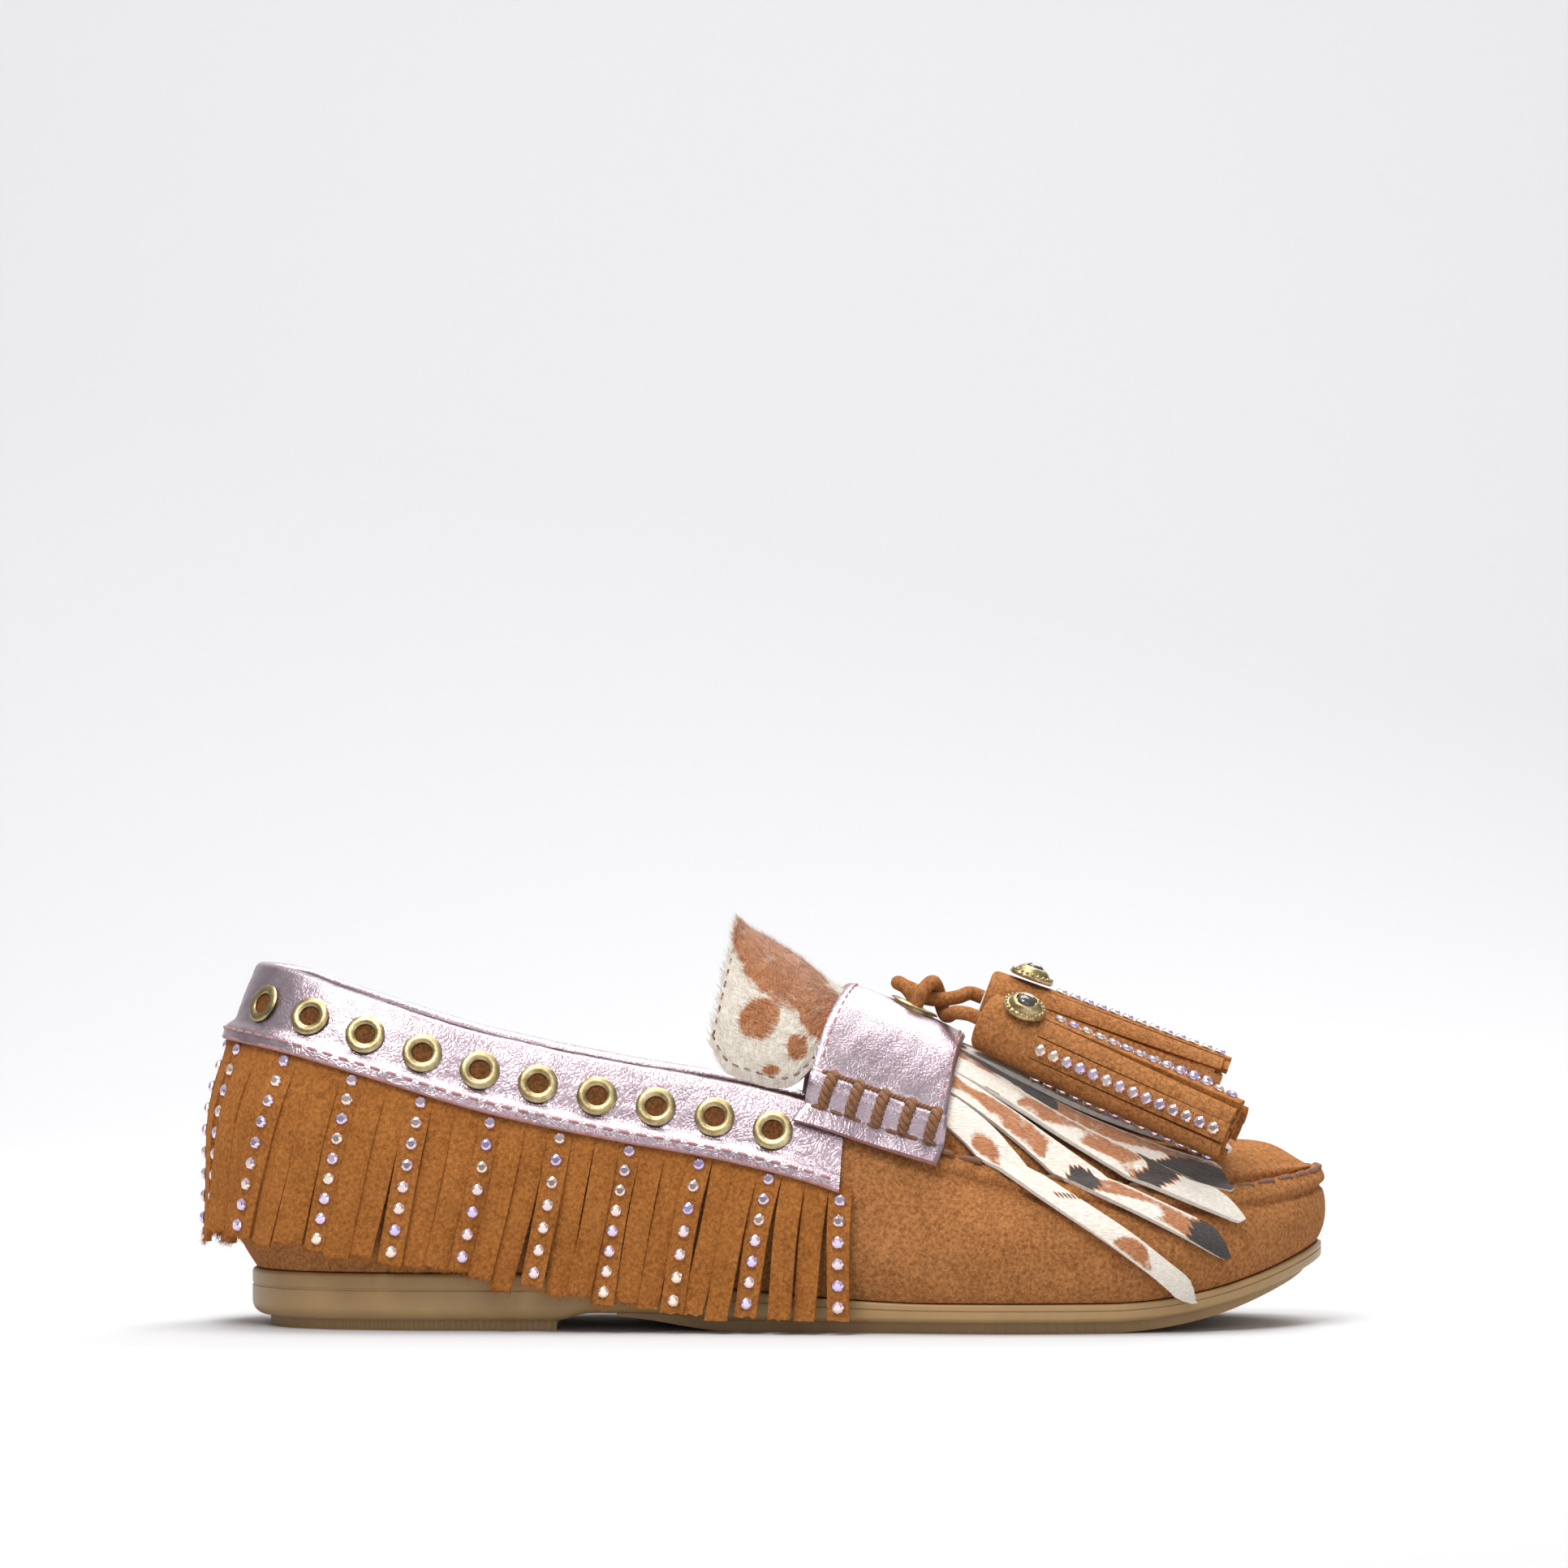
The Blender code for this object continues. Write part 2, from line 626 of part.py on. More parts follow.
def make_collar_band():
    """Metallic leather folded over the top line: an outer leg with holes, a fold and a lining leg."""
    turns = band_turns()
    count = len(turns)
    near = []
    far = []
    lift = FRINGE_THICK + 2 * GAP
    outer_leg = (
        # drop, lift over the fringe's root
        (BAND_DROP, lift), (BAND_DROP - FRINGE_TUCK - GAP, lift), (BAND_DROP - FRINGE_TUCK - 4 * GAP, 0.0),
        (0.40 * BAND_DROP, 0.0), (0.08 * BAND_DROP, 0.0),
    )
    for drop, raised in outer_leg:
        rise = rise_at(turns, drop)
        near.append(wall(turns, rise, np.full(count, GAP + raised)))
        far.append(wall(turns, rise, np.full(count, GAP + raised + BAND_THICK)))
    edge = wall(turns, np.ones(count))
    out = wall(turns, np.ones(count), np.ones(count)) - edge
    up = wall(turns, np.full(count, 1.01)) - wall(turns, np.full(count, 0.99))
    up /= np.linalg.norm(up, axis=1, keepdims=True)
    fold = (
        # place across the wall's thickness from its outer face, near and far heights
        (0.0, 0.7), (0.5, 1.0), (1.0, 0.7),
    )
    for place, height in fold:
        side = (1 - 2 * place)
        middle = edge - out * (place * UPPER_WALL)
        near.append(middle + out * side * GAP + up * GAP * height * 1.4)
        far.append(middle + out * side * (GAP + 0.7 * BAND_THICK) + up * (GAP + height * BAND_THICK))
    for drop in (0.20 * BAND_LINING, BAND_LINING):
        rise = rise_at(turns, drop)
        near.append(wall(turns, rise, np.full(count, -UPPER_WALL - GAP)))
        far.append(wall(turns, rise, np.full(count, -UPPER_WALL - GAP - 0.8 * BAND_THICK)))
    faces = flipped(grid_faces(len(near), count))
    band = thicken("collar_band", np.concatenate(near), np.concatenate(far), faces, "pink_metallic")
    cutters = [eyelet_matrix(side, number) for side in (1, -1) for number in range(EYELET_COUNT)]
    cut = punch("band_holes", cutters, EYELET_HOLE / 2 + EYELET_BARREL + GAP, -0.0009, 0.0040)
    holes = band.modifiers.new("eyelet_holes", "BOOLEAN")
    holes.operation = "DIFFERENCE"
    holes.solver = "EXACT"
    holes.object = cut
    return band


def eyelet_matrix(side, number):
    """Frame of a band eyelet: on the wall's surface, its axis square to it. Side 1 is the outer side."""
    samples = np.linspace(0, band_turns()[0], 200) * side
    course = wall(samples, rise_at(samples, EYELET_DROP))
    reach = np.concatenate([[0], np.cumsum(np.linalg.norm(np.diff(course, axis=0), axis=1))])
    pitch = (reach[-1] - EYELET_START - EYELET_END) / (EYELET_COUNT - 1)
    turn = np.interp(EYELET_START + number * pitch, reach, samples)
    rise = rise_at(turn, EYELET_DROP)
    centre = wall(turn, rise)
    axis = wall(turn, rise, 1.0) - centre
    return square_frame(centre, axis)


def square_frame(centre, axis):
    """Placing matrix at a centre with its local Z along an axis."""
    turned = Vector(axis).to_track_quat("Z", "Y").to_matrix().to_4x4()
    return Matrix.Translation(Vector(centre)) @ turned


def punch(name, frames, radius, low, high):
    """One cutting tool with a pin at each frame, whose flats lie at the radius."""
    shape = bmesh.new()
    for frame in frames:
        corner = radius / np.cos(np.pi / PUNCH_SIDES)
        made = bmesh.ops.create_cone(shape, cap_ends=True, segments=PUNCH_SIDES, radius1=corner,
                                     radius2=corner, depth=high - low)
        lift = Matrix.Translation((0, 0, (high + low) / 2))
        bmesh.ops.transform(shape, matrix=frame @ lift, verts=made["verts"])
    mesh = bpy.data.meshes.new(name)
    shape.to_mesh(mesh)
    shape.free()
    cutter = bpy.data.objects.new(name, mesh)
    bpy.context.collection.objects.link(cutter)
    cutter.hide_render = True
    cutter.display_type = "WIRE"
    return cutter


def ring(name, frame, profile, colour, sides=8):
    """Turned ring: a closed profile of radius and height, spun about the frame's axis."""
    turns = np.arange(sides) * 2 * np.pi / sides
    points = []
    for radius, height in profile:
        points.append(np.column_stack([radius * np.cos(turns), radius * np.sin(turns), np.full(sides, height)]))
    faces = grid_faces(len(profile), sides, closed=True)
    last = (len(profile) - 1) * sides
    for column in range(sides):
        beside = (column + 1) % sides
        faces.append((last + column, last + beside, beside, column))
    placed = [frame @ Vector(point) for point in np.concatenate(points)]
    return add_mesh(name, placed, faces, colour)


def eyelet_profile(width, hole, seat, depth):
    """Section of an eyelet: a rim that lies on the leather and a barrel that goes down into it."""
    barrel = hole / 2 + EYELET_BARREL
    crest = (barrel + width / 2) / 2
    return (
        (hole / 2, seat - depth), (barrel, seat - depth + EYELET_CUP), (barrel, seat + EYELET_CUP),
        (width / 2, seat), (crest, seat + EYELET_RIM), (hole / 2, seat + 0.5 * EYELET_RIM),
    )


def make_eyelets():
    """Ten brass eyelets on each side of the band."""
    seat = 2 * GAP + BAND_THICK
    profile = eyelet_profile(EYELET_WIDTH, EYELET_HOLE, seat, BAND_THICK)
    for label, side in (("outer", 1), ("inner", -1)):
        for number in range(EYELET_COUNT):
            ring(f"eyelet_{label}_{number + 1:02d}", eyelet_matrix(side, number), profile, "antique_brass")


def make_fringe():
    """Suede fringe: a root under the band and strips that hang from it and lean back to the heel."""
    arcs = []
    for strip in range(-FRINGE_COUNT, FRINGE_COUNT):
        start = strip * FRINGE_PITCH
        arcs += [start + FRINGE_SLIT / 2, start + FRINGE_PITCH - FRINGE_SLIT / 2]
    arcs = np.array(arcs)
    count = len(arcs)
    samples = np.linspace(-np.pi / 1.5, np.pi / 1.5, 801)
    course = wall(samples, rise_at(samples, BAND_DROP))
    run = np.concatenate([[0], np.cumsum(np.linalg.norm(np.diff(course, axis=0), axis=1))])
    run -= np.interp(0.0, samples, run)
    side = np.sign(arcs)
    slope = (1 - np.cos(np.clip(np.abs(arcs) / (0.12 * SOLE_LENGTH), 0, 1) * np.pi)) / 2
    slope *= 1 - ease(0.86, 1.0, np.abs(arcs) / (FRINGE_COUNT * FRINGE_PITCH))
    top_turn = np.interp(arcs, run, samples)
    top_rise = rise_at(top_turn, BAND_DROP - FRINGE_TUCK)
    edge_rise = rise_at(top_turn, BAND_DROP + 0.0015)
    end_height = BACK_HEIGHT * along(FRINGE_ENDS, 1, share_at(top_turn))
    edge_height = wall(top_turn, edge_rise)[:, 2]
    near = []
    far = []
    for rise, lift in ((top_rise, GAP), (edge_rise, 2 * GAP)):
        near.append(wall(top_turn, rise, np.full(count, lift)))
        far.append(wall(top_turn, rise, np.full(count, lift + FRINGE_THICK)))
    for part in (0.35, 1.0):
        height = edge_height + (end_height - edge_height) * part
        back = side * slope * FRINGE_LEAN * (edge_height - height)
        turn = np.interp(arcs - back, run, samples)
        low = sole_top(share_at(turn)) + GAP
        rise = (height - low) / (wall_top(turn) - low)
        float_out = FRINGE_FLOAT * (0.5 + 0.5 * part)
        near.append(wall(turn, rise, np.full(count, GAP + float_out), hang=True))
        far.append(wall(turn, rise, np.full(count, GAP + float_out + FRINGE_THICK), hang=True))
    strip_cell = [column % 2 == 0 for column in range(count - 1)]
    present = [[True] * (count - 1), strip_cell, strip_cell]
    faces = flipped(grid_faces(4, count, present))
    near, far, faces = keep_used(np.concatenate(near), np.concatenate(far), faces)
    return thicken("fringe", near, far, faces, "fringe_suede")


def strap_share(across, part):
    """Station of the strap's back edge (part 0) to front edge (part 1) across the shoe."""
    bend = np.clip(np.abs(across), 0, 1.2) ** 1.6
    back = STRAP_BACK_CENTRE + (STRAP_BACK_END - STRAP_BACK_CENTRE) * bend
    front = STRAP_FRONT_CENTRE + (STRAP_FRONT_END - STRAP_FRONT_CENTRE) * bend
    return back + (front - back) * part


def strap_lift():
    """Height of the strap's lower face over the apron: tongue or kiltie root lies between them."""
    return 3 * GAP + max(TONGUE_THICK, KILTIE_THICK, BAND_THICK)


def make_strap():
    """Saddle strap across the instep, with a roll along each end and a flap below the roll."""
    flap = STRAP_FLAP / SEAM_REACH
    roll = ROLL_PLACE / SEAM_REACH
    ends = np.array([1 + flap, 1 + 0.6 * flap, 1 + 0.22 * flap, 1.0 - 0.3 * roll, 1 - 1.1 * roll, 1 - 2.2 * roll])
    middle = np.linspace(-0.78, 0.78, 11)
    across = np.concatenate([-ends, middle, ends[::-1]])
    roll_shape = np.array([0.0, 0.0, 0.0, 0.6, 1.0, 0.0])
    raised = ROLL_HEIGHT * np.concatenate([roll_shape, np.zeros(len(middle)), roll_shape[::-1]])
    near = []
    far = []
    lift = strap_lift()
    for part in (0.0, 0.33, 0.67, 1.0):
        share = strap_share(across, part)
        near.append(skin(share, across, np.full(len(across), lift)))
        far.append(skin(share, across, lift + STRAP_THICK + raised))
    faces = flipped(grid_faces(4, len(across)))
    strap = thicken("strap", np.concatenate(near), np.concatenate(far), faces, "pink_metallic")
    hole = punch("strap_hole", [strap_eyelet_matrix()], STRAP_EYELET_HOLE / 2 + EYELET_BARREL + GAP,
                 -0.0010, STRAP_THICK + 0.0020)
    cut = strap.modifiers.new("eyelet_hole", "BOOLEAN")
    cut.operation = "DIFFERENCE"
    cut.solver = "EXACT"
    cut.object = hole
    return strap


def flipped(faces):
    """The same faces seen from the other side."""
    return [tuple(reversed(face)) for face in faces]


def strap_eyelet_matrix():
    """Frame of the strap's eyelet: at the crown, on the lower face of the strap."""
    base = skin(STRAP_EYELET_PLACE, 0.0, strap_lift())
    axis = skin(STRAP_EYELET_PLACE, 0.0, 1.0) - skin(STRAP_EYELET_PLACE, 0.0)
    return square_frame(base, axis)


def make_strap_eyelet():
    """Large brass eyelet that the thongs come out of."""
    seat = STRAP_THICK + GAP
    profile = eyelet_profile(STRAP_EYELET_WIDTH, STRAP_EYELET_HOLE, seat, STRAP_THICK)
    ring("strap_eyelet", strap_eyelet_matrix(), profile, "antique_brass", sides=12)


def make_tongue():
    """Hair-on tongue: its foot lies on the apron under the strap, its top arches up behind the strap."""
    sweep = np.linspace(-1, 1, 13)
    near = []
    far = []
    foot_across = 0.74
    for place in (TONGUE_FOOT, 0.5 * (TONGUE_FOOT + THROAT), THROAT + 0.004):
        near.append(skin(np.full(13, place), foot_across * sweep, np.full(13, GAP)))
        far.append(skin(np.full(13, place), foot_across * sweep, np.full(13, GAP + TONGUE_THICK)))
    turn = sweep * np.pi / 2
    for crown_share, crown_height, edge_share, edge_height, width in TONGUE:
        crown = np.array([SOLE_LENGTH * crown_share - HEEL_SETBACK, BACK_HEIGHT * crown_height])
        edge = np.array([SOLE_LENGTH * edge_share - HEEL_SETBACK, BACK_HEIGHT * edge_height])
        outer = wall(angle_at(edge_share), 1.0)[1] + TONGUE_TUCK
        inner = wall(2 * np.pi - angle_at(edge_share), 1.0)[1] - TONGUE_TUCK
        middle = (outer + inner) / 2
        half = width * (inner - outer) / 2
        fall = 1 - np.cos(turn)
        x = crown[0] + (edge[0] - crown[0]) * fall
        z = crown[1] + (edge[1] - crown[1]) * fall
        y = middle + half * np.sin(turn)
        row = np.column_stack([x, y, z])
        out = np.column_stack([0.45 * np.cos(turn), np.sin(turn), np.cos(turn)])
        out /= np.linalg.norm(out, axis=1, keepdims=True)
        near.append(row - out * TONGUE_THICK)
        far.append(row)
    faces = grid_faces(len(near), 13)
    return thicken("tongue", np.concatenate(near), np.concatenate(far), faces, "cow_hair")


def make_kiltie():
    """Hair-on kiltie: a root under the strap's front half, cut into strips that fan out over the toe."""
    half = KILTIE_STRIP / SEAM_REACH / 2
    root_half = KILTIE_ROOT_STRIP / SEAM_REACH / 2
    columns = []
    for root, tip, tip_share in KILTIE_STRIPS:
        columns += [(root - root_half, tip - half, tip_share), (root + root_half, tip + half, tip_share)]
    columns = np.array(columns)
    root, tip, tip_share = columns.T
    near = []
    far = []
    slit = (KILTIE_SLITS - KILTIE_ROOT) / (0.90 - KILTIE_ROOT)
    for part in (0.0, 0.6 * slit, slit, 0.45, 0.62, 0.80, 1.0):
        share = KILTIE_ROOT + (tip_share - KILTIE_ROOT) * part
        across = root + (tip - root) * part ** 1.5
        lift = np.full(len(root), GAP) + (KILTIE_LIFT - GAP) * ease(0.05, 0.40, part)
        near.append(skin(share, across, lift))
        far.append(skin(share, across, lift + KILTIE_THICK))
    count = len(columns)
    strip_cell = [column % 2 == 0 for column in range(count - 1)]
    present = [[True] * (count - 1)] * 2 + [strip_cell] * 4
    faces = grid_faces(len(near), count, present)
    near, far, faces = keep_used(np.concatenate(near), np.concatenate(far), faces)
    return thicken("kiltie", near, far, flipped(faces), "cow_hair")


def make_tassel(label):
    """Rolled suede tassel: a round cap, then strips round a core, as one loft along its axis."""
    start, stop = from_eyelet(TASSELS[label])
    axis = stop - start
    length = np.linalg.norm(axis)
    axis /= length
    frame = square_frame(start, axis)
    stations = (
        # distance along, radius, depth of the slits
        (0.0, 0.86 * TASSEL_RADIUS, 0.0),
        (0.0010, TASSEL_RADIUS, 0.0),
        (TASSEL_CAP, 1.04 * TASSEL_RADIUS, 0.0),
        (TASSEL_CAP + 0.0010, 1.04 * TASSEL_RADIUS, TASSEL_SLIT),
        (0.7 * length, 1.10 * TASSEL_RADIUS, TASSEL_SLIT),
        (length, 1.14 * TASSEL_RADIUS, TASSEL_SLIT),
    )
    pitch = 2 * np.pi / TASSEL_STRIPS
    slit = 0.10 * pitch
    points = []
    for distance, radius, depth in stations:
        for strip in range(TASSEL_STRIPS):
            begin = strip * pitch
            corners = ((begin, radius - depth), (begin + slit, radius), (begin + pitch - slit, radius))
            for turn, reach in corners:
                points.append(frame @ Vector((reach * np.cos(turn), reach * np.sin(turn), distance)))
    lap = 3 * TASSEL_STRIPS
    faces = grid_faces(len(stations), lap, closed=True)
    butt = len(points)
    points.append(frame @ Vector((0, 0, 0)))
    points.append(frame @ Vector((0, 0, length)))
    last = (len(stations) - 1) * lap
    for step in range(lap):
        after = (step + 1) % lap
        faces.append((butt, after, step))
        faces.append((butt + 1, last + step, last + after))
    return add_mesh(f"tassel_{label}", points, faces, "tan_suede")


def boss_frame(label):
    """Frame of a boss: on the tassel's cap, turned round its axis by the boss's tilt."""
    start, stop = (Vector(end) for end in from_eyelet(TASSELS[label]))
    axis = (stop - start).normalized()
    up = (Vector((0, 0, 1)) - axis * axis.z).normalized()
    out = axis.cross(up)
    if out.y > 0:
        out.negate()
    tilt = BOSS_TILT[label]
    square = (up * np.cos(tilt) + out * np.sin(tilt)).normalized()
    centre = start + axis * (0.60 * TASSEL_CAP) + square * (1.08 * TASSEL_RADIUS + GAP)
    side = square.cross(axis).normalized()
    rows = Matrix((axis, side, square)).transposed().to_4x4()
    return Matrix.Translation(centre) @ rows


def dome(name, frame, loops, colour, sides=14):
    """Low dome: loops of half length, half width and height from the base up, closed by flat ends."""
    turns = np.arange(sides) * 2 * np.pi / sides
    points = []
    for length, width, height in loops:
        loop = np.column_stack([length * np.cos(turns), width * np.sin(turns), np.full(sides, height)])
        points.append(loop)
    placed = [frame @ Vector(point) for point in np.concatenate(points)]
    faces = grid_faces(len(loops), sides, closed=True)
    last = (len(loops) - 1) * sides
    faces.append(tuple(range(sides - 1, -1, -1)))
    faces.append(tuple(range(last, last + sides)))
    return add_mesh(name, placed, faces, colour)


def make_boss(label):
    """Brass boss on a tassel's cap, with a round stone on its flat top."""
    frame = boss_frame(label)
    length = BOSS_LENGTH / 2
    width = BOSS_WIDTH / 2
    flat = STONE_WIDTH / 2 + 0.0004
    dome(f"boss_{label}", frame, (
        (length, width, 0.0),
        (length, width, 0.15 * BOSS_HEIGHT),
        (0.86 * length, 0.86 * width, 0.6 * BOSS_HEIGHT),
        (flat, flat, BOSS_HEIGHT),
    ), "antique_brass")
    stone = STONE_WIDTH / 2
    base = BOSS_HEIGHT + GAP
    dome(f"stone_{label}", frame, (
        (stone, stone, base),
        (0.95 * stone, 0.95 * stone, base + 0.0005),
        (0.60 * stone, 0.60 * stone, base + 0.0010),
    ), "smoky_stone", sides=10)


# Thongs up to the tassels, as offsets like the tassels': each leaves the strap's eyelet. The inner one
# makes a loop backwards and runs through the turn that the outer one takes round it, which is the knot.
THONG_ROUTES = {
    "outer": (
        (0.0015, -0.0241, 0.0031), (0.0058, -0.0252, 0.0315), (0.0097, -0.0252, 0.0599),
        (0.0152, -0.0150, 0.0812), (0.0195, 0.0111, 0.0895), (0.0227, 0.0418, 0.0860),
        (0.0262, 0.0714, 0.0623), (0.0289, 0.0771, 0.0292), (0.0317, 0.0566, 0.0019),
        (0.0352, 0.0191, -0.0052), (0.0399, -0.0195, 0.0043), (0.0474, -0.0650, 0.0055),
    ),
    "inner": (
        (0.0015, 0.0248, 0.0031), (0.0035, 0.0282, 0.0339), (-0.0012, 0.0396, 0.0647),
        (-0.0083, 0.0600, 0.0836), (-0.0114, 0.0884, 0.0860), (-0.0052, 0.1111, 0.0765),
        (0.0042, 0.1066, 0.0647), (0.0105, 0.0782, 0.0540), (0.0144, 0.0464, 0.0445),
        (0.0223, 0.0305, 0.0410), (0.0333, 0.0316, 0.0422), (0.0450, 0.0646, 0.0469),
    ),
}


def from_eyelet(offsets):
    """Points of the knot or of a tassel's axis, from their offsets from the strap's eyelet."""
    base = skin(STRAP_EYELET_PLACE, 0.0, strap_lift())
    return base + np.array(offsets) * (SOLE_LENGTH, BALL_WIDTH, BACK_HEIGHT)


def smooth_route(points, step):
    """Even points along a smooth curve through a route's own points."""
    reach = np.concatenate([[0], np.cumsum(np.linalg.norm(np.diff(points, axis=0), axis=1))])
    fine = np.linspace(0, reach[-1], max(int(reach[-1] / step), 4) + 1)
    return np.column_stack([through(reach, points[:, axis], fine) for axis in range(3)])


def make_thong(label):
    """Round suede thong as a tube along its route."""
    curve = bpy.data.curves.new(f"thong_{label}", "CURVE")
    curve.dimensions = "3D"
    curve.bevel_depth = THONG_WIDTH / 2
    curve.bevel_resolution = 1
    curve.use_fill_caps = True
    curve.resolution_u = 1
    curve.render_resolution_u = 0
    butt, end = from_eyelet(TASSELS[label])
    axis = (end - butt) / np.linalg.norm(end - butt)
    lead = [butt - axis * THONG_LEAD, butt - axis * GAP]
    points = np.concatenate([from_eyelet(THONG_ROUTES[label]), lead])
    route = smooth_route(points, THONG_WIDTH / 2)
    spline = curve.splines.new("POLY")
    spline.points.add(len(route) - 1)
    for point, place in zip(spline.points, route):
        point.co = (*place, 1.0)
    thing = bpy.data.objects.new(f"thong_{label}", curve)
    bpy.context.collection.objects.link(thing)
    curve.materials.append(finish("tan_suede"))
    return thing


def main():
    clear_scene()
    make_outsole()
    make_insole()
    make_upper()
    make_tongue()
    make_collar_band()
    make_eyelets()
    make_fringe()
    make_kiltie()
    make_strap()
    make_strap_eyelet()
    for label in ("outer", "inner"):
        make_tassel(label)
        make_boss(label)
        make_thong(label)


main()
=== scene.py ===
# %% [markdown]
# # A kiltie loafer, dressed
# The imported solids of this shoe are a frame: they say where every piece of leather, rubber and brass lies.
# Here each of them gets its real surface. A suede nap, a crinkled metallic foil, a cow hide's hair and
# the cut of a fringe are far finer than the solids, so each piece is worked out again on a dense grid from
# the same last, and then gets a material that is made of noise and ramps, with no pictures.

# %% Load the frame
import bpy
import numpy as np
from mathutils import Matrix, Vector


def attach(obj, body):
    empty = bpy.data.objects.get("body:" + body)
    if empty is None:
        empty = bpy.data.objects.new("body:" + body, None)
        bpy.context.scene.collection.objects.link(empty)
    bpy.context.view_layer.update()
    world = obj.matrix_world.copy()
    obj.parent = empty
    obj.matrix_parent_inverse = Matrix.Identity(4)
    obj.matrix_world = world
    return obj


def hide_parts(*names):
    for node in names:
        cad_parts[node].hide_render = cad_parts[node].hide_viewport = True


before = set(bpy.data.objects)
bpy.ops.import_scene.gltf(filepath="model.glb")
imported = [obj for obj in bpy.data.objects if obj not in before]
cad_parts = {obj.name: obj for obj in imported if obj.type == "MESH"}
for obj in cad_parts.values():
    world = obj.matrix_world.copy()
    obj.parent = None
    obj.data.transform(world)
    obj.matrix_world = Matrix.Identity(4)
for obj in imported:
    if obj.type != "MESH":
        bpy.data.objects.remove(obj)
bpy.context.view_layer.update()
scene = bpy.context.scene

# %% [markdown]
# ## The last
# A shoe is built over a last, so every piece here is a function of one. An angle runs round the shoe from
# the heel by the outer side to the toe and back by the inner side. Tables give the outline and the wall as
# shares of a few real sizes, and a smooth cubic runs through their rows. One could sculpt the upper by hand
# instead, but then the band, the fringe and the strap wouldn't lie on it.

# %% Sizes of the last
SOLE_LENGTH, BALL_WIDTH, HEEL_SETBACK = 0.255, 0.088, 0.0388
BACK_HEIGHT, INSTEP_RISE = 0.0845, 0.0280
SOLE_HEEL, SOLE_FORE, SOLE_ROUND = 0.0135, 0.0070, 0.0030
TREAD_DEPTH, TREAD_INSET, ARCH_RISE = 0.0025, 0.0045, 0.0042
HEEL_TREAD, TOE_SPRING, SPRING_START = 0.0343, 0.0125, 0.790
GAP = 0.0003
UPPER_WALL, FEATHER_INSET = 0.0018, 0.0010
RIDGE_HEIGHT = 0.0013
RIDGE_START, RIDGE_FULL = 0.600, 0.660
SEAM_REACH = 0.030                # run of the wall below the seam for one unit across
THROAT_TURN = 16 * 2 * np.pi / 60        # the throat's edge lies on the sixteenth of sixty columns

SOLE_PLAN = (
    # share, outer, inner
    (0.000, 0.000, 0.000), (0.040, 0.262, 0.258), (0.120, 0.352, 0.342), (0.250, 0.372, 0.345),
    (0.420, 0.394, 0.312), (0.560, 0.456, 0.372), (0.700, 0.508, 0.492), (0.820, 0.462, 0.500),
    (0.920, 0.325, 0.425), (0.975, 0.140, 0.305), (1.000, -0.085, 0.085),
)
WALL = (
    # share, height, bulge, inset_outer, inset_inner, widest
    (0.000, 1.000, 0.082, 0.026, 0.026, 0.42),
    (0.040, 0.970, 0.062, 0.072, 0.070, 0.42),
    (0.120, 0.898, 0.034, 0.072, 0.062, 0.40),
    (0.220, 0.808, 0.028, 0.060, 0.040, 0.38),
    (0.340, 0.731, 0.026, 0.050, 0.022, 0.36),
    (0.450, 0.672, 0.026, 0.050, 0.020, 0.34),
    (0.520, 0.618, 0.024, 0.062, 0.032, 0.33),
    (0.580, 0.554, 0.022, 0.086, 0.060, 0.32),
    (0.640, 0.497, 0.020, 0.110, 0.092, 0.32),
    (0.720, 0.436, 0.018, 0.128, 0.120, 0.33),
    (0.820, 0.405, 0.016, 0.120, 0.120, 0.36),
    (0.920, 0.392, 0.014, 0.085, 0.090, 0.42),
    (0.970, 0.414, 0.013, 0.050, 0.056, 0.45),
    (1.000, 0.438, 0.012, 0.028, 0.028, 0.45),
)
APRON = (
    # share, crown
    (0.000, 1.000), (0.500, 1.000), (0.580, 0.985), (0.640, 0.885), (0.720, 0.705), (0.770, 0.580),
    (0.820, 0.470), (0.870, 0.395), (0.920, 0.362), (0.970, 0.236), (1.000, 0.000),
)


# %% Curves through the tables
def through(places, values, wanted):
    """Cubic through the places; a slope is its two spans' slopes, each weighted by the other's width."""
    places, values = np.asarray(places, float), np.asarray(values, float)
    spans = np.diff(places)
    steps = np.diff(values) / spans
    slopes = np.empty_like(values)
    slopes[1:-1] = (steps[:-1] * spans[1:] + steps[1:] * spans[:-1]) / (spans[:-1] + spans[1:])
    slopes[0], slopes[-1] = steps[0], steps[-1]
    wanted = np.clip(wanted, places[0], places[-1])
    span = np.clip(np.searchsorted(places, wanted, side="right") - 1, 0, len(spans) - 1)
    width = spans[span]
    u = (wanted - places[span]) / width
    return (values[span] * (1 + 2 * u) * (1 - u) ** 2 + values[span + 1] * (3 - 2 * u) * u ** 2
            + slopes[span] * width * u * (1 - u) ** 2 - slopes[span + 1] * width * u ** 2 * (1 - u))


def ease(start, stop, value):
    """S curve: 0 before start, 1 after stop, 3u^2 - 2u^3 between."""
    u = np.clip((value - start) / (stop - start), 0, 1)
    return u * u * (3 - 2 * u)


def share_at(turn):
    """Share of the length at an angle: (1 - cos) / 2, so that the columns crowd at heel and toe."""
    return (1 - np.cos(turn)) / 2


def angle_at(share):
    """Angle on the outer side at a share of the length: the other way round."""
    return np.arccos(1 - 2 * np.asarray(share, float))


